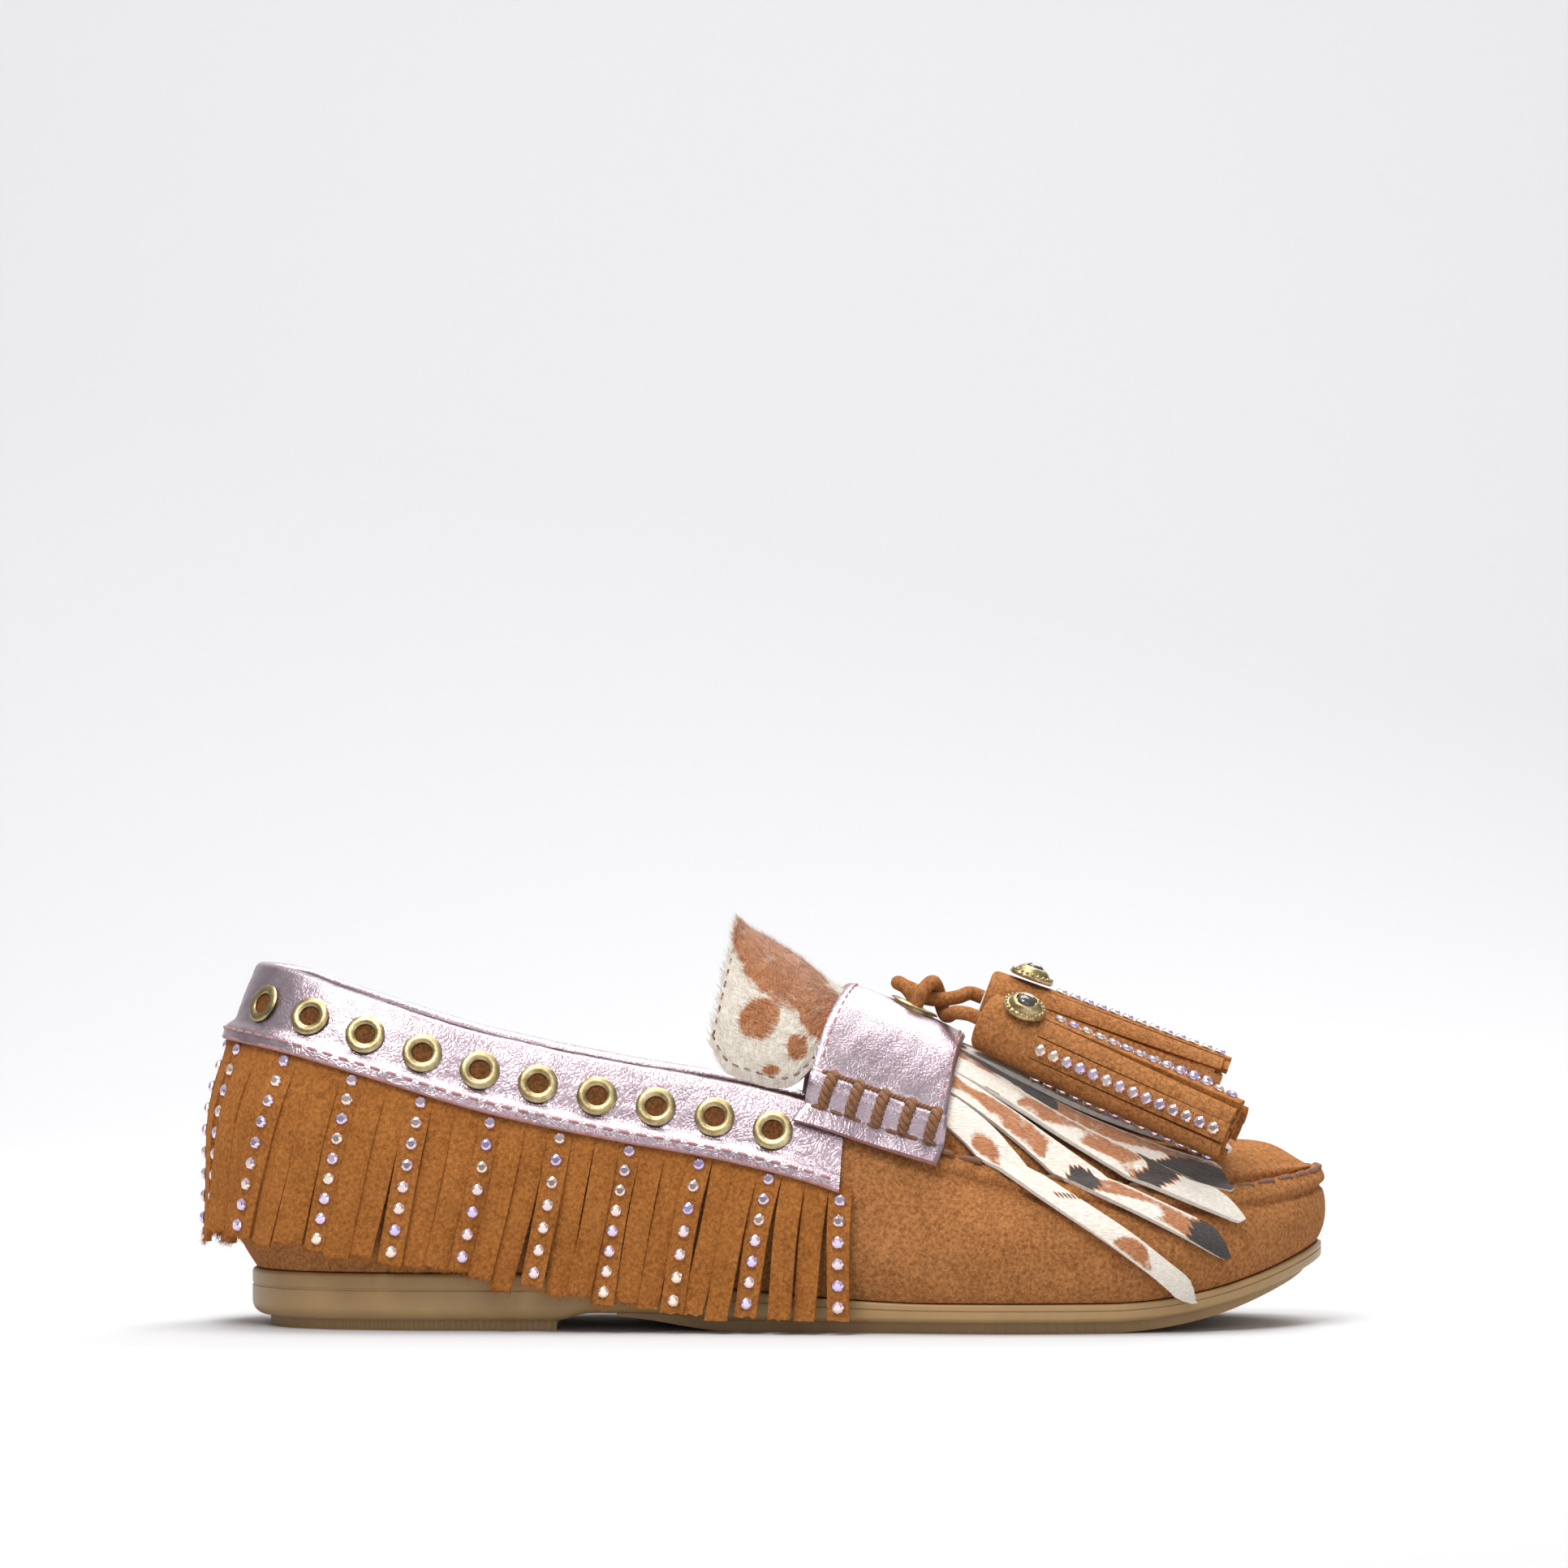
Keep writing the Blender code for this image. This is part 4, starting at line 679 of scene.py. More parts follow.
lip, top_round = 0.00025, 0.0009
body_rings = [(part, -SOLE_ROUND, level(0.0)) for part in (0.0, 0.4, 0.8, 0.97)]
body_rings += [(1.0, -SOLE_ROUND * (1 - np.sin(a)), level(0.30 * (1 - np.cos(a))))
               for a in np.linspace(0, np.pi / 2, 9)]
body_rings += [(1.0, out, level(part)) for part, out in (
    (0.62, 0.0), (0.64, -lip), (0.67, -lip), (0.69, 0.0), (0.82, 0.0))]
body_rings += [(1.0, -top_round * (1 - np.cos(a)), level(0.90 + 0.10 * np.sin(a)))
               for a in np.linspace(0, np.pi / 2, 8)]
body_rings += [(part, -top_round, level(1.0)) for part in (0.97, 0.8, 0.4, 0.0)]
dress(loft_round("outsole body", body_rings), RUBBER, "rubber", "outsole")

# %% Treads
TREAD_TURNS, TREAD_ROWS = 420, 20          # points along the tread and across it
GROOVE_PITCH, GROOVE_DEPTH, TOOTH = 0.0045, 0.0006, 0.00014


def tread(name, first, last, bottom):
    """Tread plate between two shares: its edge is a row of teeth, and grooves cross its underside."""
    turn = np.linspace(angle_at(first), angle_at(last), TREAD_TURNS)
    share = share_at(turn)
    teeth = TOOTH * np.abs(np.sin(np.arange(TREAD_TURNS) * np.pi / 2.5))
    left = outline(turn, -TREAD_INSET + teeth)
    right = outline(2 * np.pi - turn, -TREAD_INSET + teeth)
    mixing = np.linspace(0, 1, TREAD_ROWS)[None, :, None]
    plan = left[:, None] * (1 - mixing) + right[:, None] * mixing
    grooves = GROOVE_DEPTH * (np.sin(plan[..., 0] * 2 * np.pi / GROOVE_PITCH) > 0.55)
    grooves = grooves * (np.minimum(mixing, 1 - mixing) > 0.04)[..., 0]
    low = np.concatenate([plan, (bottom(share)[:, None] + grooves)[..., None]], axis=-1)
    high = np.concatenate([plan, np.broadcast_to(sole_floor(share)[:, None, None] + 0.001,
                                                 plan.shape[:2] + (1,))], axis=-1)
    plate = leather(name, low, high, [grid(TREAD_TURNS, TREAD_ROWS)[:, ::-1]], sharp=0.5)
    dress(plate, RUBBER, "rubber", "outsole")


tread("heel tread", 0.0004, BREAST, lambda share: 0 * share)
tread("forefoot tread", BREAST + 0.055, 0.9996,
      lambda share: 0.8 * ARCH_RISE * (1 - ease(BREAST + 0.05, BREAST + 0.16, share)) + spring(share))

# %% Insole sock
inset = FEATHER_INSET + UPPER_WALL + GAP
sock_rings = [(part, -inset - 0.0008, lambda share: sole_top(share) + GAP) for part in (0.0, 0.5, 0.95)]
sock_rings += [(1.0, -inset - 0.0010 * (1 - np.sin(a)) * (a > 1.5),
                lambda share, a=a: sole_top(share) + GAP + 0.0015 * (1 - np.cos(a)))
               for a in np.linspace(0, np.pi, 10)]
sock_rings += [(part, -inset, lambda share, k=part: sole_top(share) + GAP + 0.0030 + 0.0002 * (1 - k))
               for part in (0.95, 0.5, 0.0)]
dress(loft_round("insole sock", sock_rings), LINING, "lining", "insole")

# %% [markdown]
# ## The upper
# A moccasin's wall is one strip of suede that goes all round the foot, and its plug covers the toes. The
# maker pinches the wall's edge over the plug and sews through both, which leaves a raised ridge with a row
# of long stitches. The ridge is a half round on the last millimetres of the wall, puckered at each stitch.
# A cloth simulation can pucker a seam too, but its folds wouldn't keep in step with the stitches.

# %% Wall and ridge
SEAM_STITCH = 0.0067
SEAM_TURNS = np.linspace(angle_at(RIDGE_START - 0.03), 2 * np.pi - angle_at(RIDGE_START - 0.03), 1600)
seam_reach = run_along(wall_base(SEAM_TURNS, 1.0))
RIDGE_BAND = 0.0040


def pucker(turn):
    """From 0 midway between two stitches to 1 at their holes, along the seam."""
    reach = np.interp(turn, SEAM_TURNS, seam_reach)
    return np.abs(np.cos(reach * np.pi / SEAM_STITCH)) ** 8


def creases(points):
    """Listed troughs and swells of the walls: a Gaussian each, by centre, size and depth."""
    rows = (
        # x, y, z, length, width, depth
        (0.118, -0.045, 0.030, 0.016, 0.005, -0.0007),
        (0.135, -0.046, 0.022, 0.020, 0.006, 0.0006),
        (0.160, -0.044, 0.020, 0.024, 0.005, -0.0005),
        (0.190, -0.030, 0.030, 0.018, 0.006, 0.0005),
        (0.150, 0.046, 0.022, 0.022, 0.006, -0.0006),
        (0.172, -0.006, 0.048, 0.012, 0.020, -0.0006),
        (0.196, 0.004, 0.045, 0.014, 0.016, 0.0005),
    )
    value = np.zeros(points.shape[:-1])
    for x, y, z, length, width, depth in rows:
        lean = (points[..., 0] - x) * 0.9 + (points[..., 2] - z) * 0.4
        across = (points[..., 2] - z) * 0.9 - (points[..., 0] - x) * 0.4
        far = (lean / length) ** 2 + (across / width) ** 2 + ((points[..., 1] - y) / 0.02) ** 2
        value += depth * np.exp(-far)
    return value


# %% Skins of the wall
WALL_TURNS = 640
LOWER_ROWS, RIDGE_ROWS = 38, 14          # rows of points below the ridge and on it
turn = np.arange(WALL_TURNS) * 2 * np.pi / WALL_TURNS
lower = rise_at(turn, RIDGE_BAND)[None] * np.linspace(0, 1, LOWER_ROWS)[:, None]
ridge_drop = RIDGE_BAND * (1 - np.linspace(0, 1, RIDGE_ROWS + 1)[1:])
upper_rise = np.concatenate([lower, rise_at(turn[None], ridge_drop[:, None])])
bead = np.sqrt(np.clip(1 - (2 * ridge_drop / RIDGE_BAND - 1) ** 2, 0, 1)) ** 0.8
ridge_fade = ease(RIDGE_START, RIDGE_FULL, share_at(turn))[None]
ridge = np.concatenate([np.zeros(LOWER_ROWS), bead])[:, None] * ridge_fade
ridge = ridge * (RIDGE_HEIGHT + 0.0004) * (1 - 0.45 * pucker(turn)[None])
turns = np.broadcast_to(turn, upper_rise.shape)
rough_wall = wall(turns, upper_rise)
fade = ease(0.0, 0.12, upper_rise)
lumps = (0.00012 * ripple(rough_wall, 0.016, 3) + creases(rough_wall)) * fade
under_ridge = np.exp(-((np.arange(LOWER_ROWS + RIDGE_ROWS) - LOWER_ROWS + 2) / 1.8) ** 2)[:, None]
lumps = lumps - under_ridge * (0.0005 + 0.0004 * pucker(turn)) * ridge_fade
outer_skin = wall(turns, upper_rise, ridge + lumps)
inner_skin = wall(turns, upper_rise, lumps - UPPER_WALL)
upper_wall = leather("upper wall", outer_skin, inner_skin, [grid(*upper_rise.shape, closed=True)])
dress(upper_wall, TAN, "suede", "upper")


# %% Plug over the toes
THROAT = float(share_at(np.array(THROAT_TURN)))
PLUG_ROWS, PLUG_COLUMNS, PLUG_END = 175, 120, 0.9985
plug_share = THROAT + (PLUG_END - THROAT) * np.sin(np.linspace(0, np.pi / 2, PLUG_ROWS)) ** 0.9
plug_across = np.sin(np.linspace(-np.pi / 2, np.pi / 2, PLUG_COLUMNS))
plug_share, plug_across = np.meshgrid(plug_share, plug_across, indexing="ij")
seam_turn = np.where(plug_across < 0, angle_at(plug_share), 2 * np.pi - angle_at(plug_share))
to_seam = 1 - np.abs(plug_across)
seam_fade = ease(RIDGE_START, RIDGE_FULL, plug_share)
groove = np.exp(-(to_seam / 0.035) ** 2) * seam_fade
swell = np.exp(-((to_seam - 0.10) / 0.06) ** 2) * seam_fade
rough_plug = skin(plug_share, plug_across)
lumps = 0.00015 * ripple(rough_plug, 0.014, 5) + creases(rough_plug)
lumps = lumps * (1 - groove) - groove * (0.0005 + 0.0007 * pucker(seam_turn)) + 0.0004 * swell
plug_outer = skin(plug_share, plug_across, lumps)
plug_inner = skin(plug_share, plug_across, lumps - UPPER_WALL)
plug = leather("upper plug", plug_outer, plug_inner, [grid(*plug_share.shape)[:, ::-1]])
dress(plug, TAN, "suede", "upper")

# %% Long stitches of the ridge
seam_turns = SEAM_TURNS[ease(RIDGE_START, RIDGE_FULL, share_at(SEAM_TURNS)) > 0.3]
seam_drop = rise_at(seam_turns, 0.0009)
stitch_path = wall(seam_turns, seam_drop, np.full(len(seam_turns), RIDGE_HEIGHT + 0.0003))
stitch_up = unit(wall(seam_turns, seam_drop, np.full(len(seam_turns), 1.0)) - wall(seam_turns, seam_drop))
stitch_up = unit(stitch_up + np.array([0, 0, 0.6]))
place_along("ridge stitches", capsule(0.0060, 0.00075), [walk(stitch_path, stitch_up, SEAM_STITCH)],
            THREAD, "suede", "upper")

# %% [markdown]
# ## The collar band and its eyelets
# The band is one strip of foil leather, folded over the top line and sewn down low on the outside, over
# the root of the fringe. Ten brass eyelets a side are set through it, and each hole holds a disc of
# darker suede whose dark is painted shade.
# Its section is an outer leg, a half round over the wall's edge and a lining leg, swept round the heel.
# A Simple Deform modifier can fold a flat strip as well, but not along the top line's own curve.

# %% Collar band
BAND_THICK, BAND_DROP, BAND_LINING, BAND_SETBACK = 0.0012, 0.0170, 0.0100, 0.0012
FRINGE_THICK, FRINGE_TUCK = 0.0013, 0.0020
BAND_END = THROAT_TURN - BAND_SETBACK / (SOLE_LENGTH / 2)
BAND_TURNS, BAND_TURNOVER = 560, 0.0012          # columns of points, and the drop where the fold starts
band_turn = np.linspace(BAND_END, -BAND_END, BAND_TURNS)


def band_raise(drop):
    """Lift of the band's lower edge over the fringe's root."""
    return (FRINGE_THICK + 2 * GAP) * ease(BAND_DROP - FRINGE_TUCK - 0.0030, BAND_DROP - FRINGE_TUCK, drop)


def band_skin(thick):
    """Rows of the band at a height over its own near face: outer leg, fold and lining leg."""
    whole = np.ones(BAND_TURNS)
    outer_rows, fold_rows, lining_rows = 28, 9, 7
    rows = []
    for drop in np.linspace(BAND_DROP, BAND_TURNOVER, outer_rows):
        rows.append(wall(band_turn, rise_at(band_turn, drop), whole * (GAP + band_raise(drop) + thick)))
    edge = wall(band_turn, whole)
    out = wall(band_turn, whole, whole) - edge
    up = unit(wall(band_turn, whole * 1.01) - wall(band_turn, whole * 0.99))
    core = edge - out * UPPER_WALL / 2
    for turned in np.linspace(0.12, np.pi - 0.12, fold_rows):
        reach = UPPER_WALL / 2 + GAP + thick
        rows.append(core + out * np.cos(turned) * reach + up * np.sin(turned) * (0.0004 + thick))
    for drop in np.linspace(BAND_TURNOVER, BAND_LINING, lining_rows):
        rows.append(wall(band_turn, rise_at(band_turn, drop), whole * (-UPPER_WALL - GAP - 0.8 * thick)))
    return np.stack(rows)


far, near = band_skin(BAND_THICK), band_skin(0.0)
crinkle = 0.00006 * ripple(far, 0.0080, 11) + 0.00003 * ripple(far, 0.0030, 12)
far = far + unit(far - near) * crinkle[..., None]
band = leather("collar band", far, near, [grid(far.shape[0], BAND_TURNS)[:, ::-1]], edge=PINK_THREAD)
dress(band, PINK, "metallic_leather", "collar_band")


# %% Stitches and raw edge of the band
def on_band(drop, proud=0.0):
    """Path along the band's outer leg and its outward normals."""
    lift = np.full(BAND_TURNS, GAP + float(band_raise(drop)) + BAND_THICK + proud)
    path = wall(band_turn, rise_at(band_turn, drop), lift)
    return path, unit(path - wall(band_turn, rise_at(band_turn, drop)))


low_edge = walk(*on_band(BAND_DROP - 0.0020, 0.0001), 0.0040, 0.0015)
place_along("band stitches", capsule(0.0028, 0.00034), [low_edge], PINK_THREAD, "metallic_leather",
            "collar_band")
path, up = on_band(BAND_DROP - 0.0001, -0.0005)
points, faces = tube(path, 0.00055, 8)
dress(make_mesh("band raw edge", points, faces), PINK_THREAD, "metallic_leather", "collar_band")

# %% Eyelets
EYELET_COUNT, EYELET_START, EYELET_END, EYELET_DROP = 10, 0.0165, 0.0168, 0.0078
EYELET_WIDTH, EYELET_HOLE, EYELET_RIM = 0.0094, 0.0050, 0.0007


def revolve(profile, sides):
    """Template turned about Z from a closed profile of radius and height."""
    turned = np.arange(sides) * 2 * np.pi / sides
    rings = [np.column_stack([radius * np.cos(turned), radius * np.sin(turned), np.full(sides, height)])
             for radius, height in profile]
    faces = grid(len(profile), sides, closed=True)
    loop = np.arange(sides)
    last = (len(profile) - 1) * sides
    after = (loop + 1) % sides
    join = np.stack([last + loop, last + after, after, loop], axis=-1)
    return np.concatenate(rings), [faces, join]


def eyelet(width, hole, depth):
    """Section of an eyelet: a rolled rim round a barrel."""
    inner, outer = hole / 2, width / 2
    rolled = [(outer - (outer - inner) * part, EYELET_RIM * np.sin(np.pi * (part * 0.85 + 0.04)) ** 0.6)
              for part in np.linspace(0, 1, 12)]
    return revolve([(inner, -depth), (inner + 0.0004, -depth), (inner + 0.0004, 0.0)] + rolled, 40)


def eyelet_places():
    """Centres and outward normals of the eyelets on the wall, both sides."""
    centres, ups = [], []
    for side in (1, -1):
        samples = np.linspace(0, BAND_END, 400) * side
        reach = run_along(wall(samples, rise_at(samples, EYELET_DROP)))
        pitch = (reach[-1] - EYELET_START - EYELET_END) / (EYELET_COUNT - 1)
        turned = np.interp(EYELET_START + np.arange(EYELET_COUNT) * pitch, reach, samples)
        rise = rise_at(turned, EYELET_DROP)
        centres.append(wall(turned, rise))
        ups.append(unit(wall(turned, rise, np.ones(EYELET_COUNT)) - centres[-1]))
    return np.concatenate(centres), np.concatenate(ups)


# %% Set the eyelets
centres, up = eyelet_places()
level_way = unit(np.cross(np.array([0, 0, 1.0]), up))
seat = centres + up * (2 * GAP + BAND_THICK)
names = [f"eyelet_{side}_{number + 1:02d}" for side in ("outer", "inner") for number in range(EYELET_COUNT)]
rims = scatter("band eyelets", *eyelet(EYELET_WIDTH, EYELET_HOLE, 0.0010), seat, level_way, up)
dress(rims, BRASS, "brass", *names)
# Each eyelet's hole holds a disc of dark suede: painted shade inside the barrel.
DISC_SIDES = 24
disc_turn = np.arange(DISC_SIDES) * 2 * np.pi / DISC_SIDES
disc = np.column_stack([np.cos(disc_turn), np.sin(disc_turn), 0 * disc_turn]) * EYELET_HOLE / 2
disc_face = np.arange(DISC_SIDES)[None]
holes = scatter("painted shade discs in the eyelets", disc, [disc_face], seat - up * 0.00015, level_way, up)
dress(holes, SHADED, "suede", *names)

# %% [markdown]
# ## The fringe
# A long strip of darker suede is sewn under the band and slit into sixty strips. They hang by their own
# weight, lean back to the heel and curl a little, each its own way. Every third one carries a row of
# hot-set crystals. The strips are one array: strip by row by column, with seeded bends added to each.
# Particle hair could hang there instead, but it has no flat face, no thickness and no cut end.

# %% Fringe strips
FRINGE_PITCH, FRINGE_COUNT = 0.0056, 30
FRINGE_FLOAT, FRINGE_LEAN, FRINGE_LOWEST = 0.0018, 0.20, 0.0032
FRINGE_ENDS = (
    # share, height
    (0.000, 0.254), (0.060, 0.243), (0.150, 0.203), (0.240, 0.152), (0.310, 0.112),
    (0.360, 0.080), (0.450, 0.050), (0.520, 0.038), (1.000, 0.038),
)

# %% Outline of the strips
draw = np.random.default_rng(31)
samples = np.linspace(-np.pi / 1.5, np.pi / 1.5, 1601)
run = run_along(wall(samples, rise_at(samples, BAND_DROP)))
run -= np.interp(0.0, samples, run)
strips = np.arange(-FRINGE_COUNT, FRINGE_COUNT)
STRIPS, DOWN, WIDE = 2 * FRINGE_COUNT, 34, 9
middle_arc = ((strips + 0.5) * FRINGE_PITCH)[:, None, None]
down = np.linspace(0, 1, DOWN)[None, :, None]
wide = np.linspace(-1, 1, WIDE)[None, None, :]
half_width = (FRINGE_PITCH + 0.0001) / 2 * (1 - 0.05 * down * draw.uniform(0, 2, (STRIPS, 1, 1)))
sway = draw.normal(0, 0.0006, (STRIPS, 1, 1)) * down ** 1.5
sway = sway + draw.normal(0, 0.0003, (STRIPS, 1, 1)) * np.sin(4 * down)
arc = middle_arc + wide * half_width + sway
root_turn = np.interp(middle_arc + wide * half_width, run, samples)
edge_height = wall(root_turn, rise_at(root_turn, BAND_DROP - 0.0010))[..., 2]
end_height = BACK_HEIGHT * along(FRINGE_ENDS, 1, share_at(root_turn))
end_height = end_height + draw.normal(0, 0.0010, (STRIPS, 1, 1))
end_height = end_height + draw.normal(0, 0.00018, (STRIPS, 1, WIDE))
height = edge_height + (np.maximum(end_height, FRINGE_LOWEST) - edge_height) * down
slope = (1 - np.cos(np.clip(np.abs(middle_arc) / (0.12 * SOLE_LENGTH), 0, 1) * np.pi)) / 2
slope = slope * (1 - ease(0.86, 1.0, np.abs(middle_arc) / (FRINGE_COUNT * FRINGE_PITCH)))
back = np.sign(middle_arc) * slope * FRINGE_LEAN * (edge_height - height)
strip_turn = np.interp(arc - back, run, samples)
low = sole_top(share_at(strip_turn)) + GAP
strip_rise = (height - low) / (wall_top(strip_turn) - low)

# %% Lift and skins of the strips
twist = draw.normal(0, 0.0006, (STRIPS, 1, 1)) * wide * down
curl = draw.uniform(-0.2, 1.0, (STRIPS, 1, 1)) * 0.0007 * down ** 3
bow = -0.00022 * wide ** 2
lift = 2 * GAP + FRINGE_FLOAT * ease(0.0, 0.5, down) * (0.7 + 0.3 * down) + twist + curl + bow
lift = np.maximum(lift, GAP) + 0.0007 * (np.arange(STRIPS) % 2)[:, None, None] * ease(0.02, 0.3, down)
fringe_near = wall(strip_turn, strip_rise, lift, hang=True)
fringe_far = wall(strip_turn, strip_rise, lift + FRINGE_THICK, hang=True)
strip_faces = repeat(grid(DOWN, WIDE), STRIPS, DOWN * WIDE)
fringe = leather("fringe strips", fringe_far, fringe_near, [strip_faces], sharp=0.8)
dress(fringe, FRINGE_SUEDE, "fringe_suede", "fringe")

# %% Root of the fringe
ROOT_POINTS = 1200
root_arc = np.linspace(-1, 1, ROOT_POINTS) * FRINGE_COUNT * FRINGE_PITCH
root_turns = np.interp(root_arc, run, samples)
root_drops = (BAND_DROP - FRINGE_TUCK, BAND_DROP - 0.0008)
near, far = (np.stack([wall(root_turns, rise_at(root_turns, drop), np.full(ROOT_POINTS, proud))
                       for drop in root_drops]) for proud in (GAP, 0.0014))
root = leather("fringe root", far, near, [grid(2, ROOT_POINTS)[:, ::-1]])
dress(root, FRINGE_SUEDE, "fringe_suede", "fringe")

# %% Crystals on every third strip
CRYSTAL_PITCH, CRYSTAL_WIDTH = 0.00476, 0.0031


def gem(width):
    """Template of a flat-backed crystal: eight facets from the girdle to the table."""
    turned = np.arange(8) * np.pi / 4
    levels = (
        # part of the radius, height, turn in facets
        (1.0, 0.0, 0.0), (1.0, 0.10, 0.0), (0.80, 0.25, 0.5), (0.50, 0.34, 0.0),
    )
    rings = []
    for part, height, turn_part in levels:
        angle = turned + turn_part * np.pi / 4
        rings.append(np.column_stack([part * np.cos(angle), part * np.sin(angle), np.full(8, height * 2)]))
    loop = np.arange(8)
    after = (loop + 1) % 8
    down_a = np.stack([8 + loop, 8 + after, 16 + loop], axis=-1)
    down_b = np.stack([8 + after, 16 + after, 16 + loop], axis=-1)
    up_a = np.stack([16 + loop, 24 + after, 24 + loop], axis=-1)
    up_b = np.stack([16 + loop, 16 + after, 24 + after], axis=-1)
    girdle = grid(2, 8, closed=True)
    return np.concatenate(rings) * width / 2, [girdle, down_a, down_b, up_a, up_b, (24 + loop)[None]]


def strip_places(grid_points, other, column, pitch, margin):
    """Even places along one column of a strip's outer skin."""
    path = grid_points[:, column]
    return walk(path, path - other[:, column], pitch, margin)


jewelled = [index for index, strip in enumerate(strips) if strip % 3 == 2]
places = [strip_places(fringe_far[index], fringe_near[index], WIDE // 2, CRYSTAL_PITCH, 0.0006)
          for index in jewelled]
place_along("fringe crystals", gem(CRYSTAL_WIDTH), places, CRYSTAL, "stone", "fringe", sharp=0.01)
print(sum(len(place[0]) for place in places), "crystals on the fringe")

# %% [markdown]
# ## The strap
# The saddle strap is foil leather laid over the instep. Each end is wrapped over a roll of cord and sewn
# down through it: five twisted cords stand over the roll, with brown stitches under it. The strap follows
# the same skin as the plug, a tongue's thickness above it, and its roll is a step in that height. A strip
# with a Shrinkwrap modifier would lie there too, but its roll and its cut edges would be harder to place.

# %% Strap
STRAP_THICK, STRAP_FLAP, ROLL_HEIGHT, ROLL_PLACE = 0.0015, 0.0048, 0.0022, 0.0015
STRAP_STATIONS = (0.550, 0.512, 0.652, 0.636)      # back centre, back end, front centre, front end
flap, roll = STRAP_FLAP / SEAM_REACH, ROLL_PLACE / SEAM_REACH
ROLL_ROWS = (
    # distance across beyond the seam, height of the roll
    (-3.0 * roll, 0.0), (-1.9 * roll, 0.0), (-1.5 * roll, 0.75), (-1.0 * roll, 1.0),
    (-0.5 * roll, 0.75), (0.0, 0.0), (1.0 * flap, 0.0),
)


def strap_share(across, part):
    """Station from the strap's back edge (part 0) to its front edge (part 1)."""
    back_mid, back_end, front_mid, front_end = STRAP_STATIONS
    bend = np.clip(np.abs(across), 0, 1.2) ** 1.6
    back = back_mid + (back_end - back_mid) * bend
    return back + (front_mid + (front_end - front_mid) * bend - back) * part


def on_strap(across, part, proud=0.0):
    """Point of the strap's outer face and above it."""
    roll_up = ROLL_HEIGHT * np.clip(along(ROLL_ROWS, 1, np.abs(across) - 1), 0, 1)
    return skin(strap_share(across, part), across, STRAP_LIFT + STRAP_THICK + roll_up + proud)


# %% Skins of the strap
STRAP_COLUMNS, STRAP_ROWS = 240, 72
strap_across, strap_part = np.meshgrid(np.linspace(-1 - flap, 1 + flap, STRAP_COLUMNS),
                                       np.linspace(0, 1, STRAP_ROWS))
edge_round = 0.0005 * np.clip(1 - np.minimum(strap_part, 1 - strap_part) / 0.035, 0, 1) ** 2
rough_strap = on_strap(strap_across, strap_part)
strap_lumps = 0.00005 * ripple(rough_strap, 0.007, 21) + 0.00012 * ripple(rough_strap, 0.018, 22)
end_groove = 0.0004 * np.exp(-((np.abs(strap_across) - 1 + 1.9 * roll) / (0.25 * roll)) ** 2)
strap_far = on_strap(strap_across, strap_part, strap_lumps - edge_round - end_groove)
strap_near = skin(strap_share(strap_across, strap_part), strap_across, STRAP_LIFT)
strap = leather("strap", strap_far, strap_near, [grid(*strap_across.shape)], edge=PINK_THREAD)
dress(strap, PINK, "metallic_leather", "strap")


# %% Edge stitches and twisted cords
def strap_row(across, part, proud):
    """Path over the strap with its normals."""
    path = on_strap(across, part, proud)
    return path, unit(on_strap(across, part, proud + 0.01) - path)


edges = [walk(*strap_row(np.linspace(-1 + 2.6 * roll, 1 - 2.6 * roll, 300), part, 0.0001), 0.0034)
         for part in (0.055, 0.945)]
place_along("strap stitches", capsule(0.0022, 0.00026), edges, PINK_THREAD, "metallic_leather", "strap")


def twisted(path, up, radius, lay, strands=2):
    """Strands wound round a path: each runs on a circle square to it, one turn each lay."""
    course = unit(np.gradient(path, axis=0))
    side = unit(np.cross(course, up))
    top = np.cross(side, course)
    reach = run_along(path)
    made = []
    for strand in range(strands):
        turned = 2 * np.pi * (reach / lay + strand / strands)
        wound = path + radius * 0.55 * (np.cos(turned)[:, None] * side + np.sin(turned)[:, None] * top)
        made.append(tube(wound, radius * 0.62, 8))
    return made


def join(name, pieces):
    """One mesh of several templates."""
    shift, points, faces = 0, [], []
    for piece_points, piece_faces in pieces:
        points.append(piece_points)
        faces += [face + shift for face in piece_faces]
        shift += len(piece_points)
    return make_mesh(name, np.concatenate(points), faces)


# %% Cords over the roll
BAR_POINTS, LINE_POINTS = 60, 160
bars, rows = [], []
bar_run = np.linspace(-1, 1, BAR_POINTS)
line_ones = np.ones(LINE_POINTS)
for side in (-1, 1):
    for part in (0.14, 0.33, 0.52, 0.71, 0.90):
        reach = np.linspace(1 - 1.75 * roll, 1 + 0.1 * roll, BAR_POINTS)
        bar, up = strap_row(side * reach, part - 0.02 * bar_run, 0.0004 - 0.0012 * np.abs(bar_run) ** 6)
        bars += twisted(bar, up, 0.0013, 0.0030)
    line, up = strap_row(line_ones * side * (1 - 1.65 * roll), np.linspace(0.08, 0.94, LINE_POINTS), 0.0002)
    bars += twisted(line, up, 0.0006, 0.0020)
    line = strap_row(line_ones * side * (1 + 0.10 * flap), np.linspace(0.03, 0.97, LINE_POINTS), 0.0002)
    rows.append(walk(*line, 0.0042))
dress(join("strap cord bars", bars), CORD, "suede", "strap")
place_along("strap end stitches", capsule(0.0033, 0.00045), rows, THREAD, "suede", "strap")

# %% Large eyelet
base = skin(STRAP_EYELET_PLACE, 0.0, STRAP_LIFT)
axis = unit(skin(STRAP_EYELET_PLACE, 0.0, 0.01) - skin(STRAP_EYELET_PLACE, 0.0))
large = scatter("strap eyelet", *eyelet(0.0122, 0.0094, 0.0012), (base + axis * (STRAP_THICK + GAP))[None],
                np.array([[1.0, 0, 0]]), axis[None])
dress(large, BRASS, "brass", "strap_eyelet")
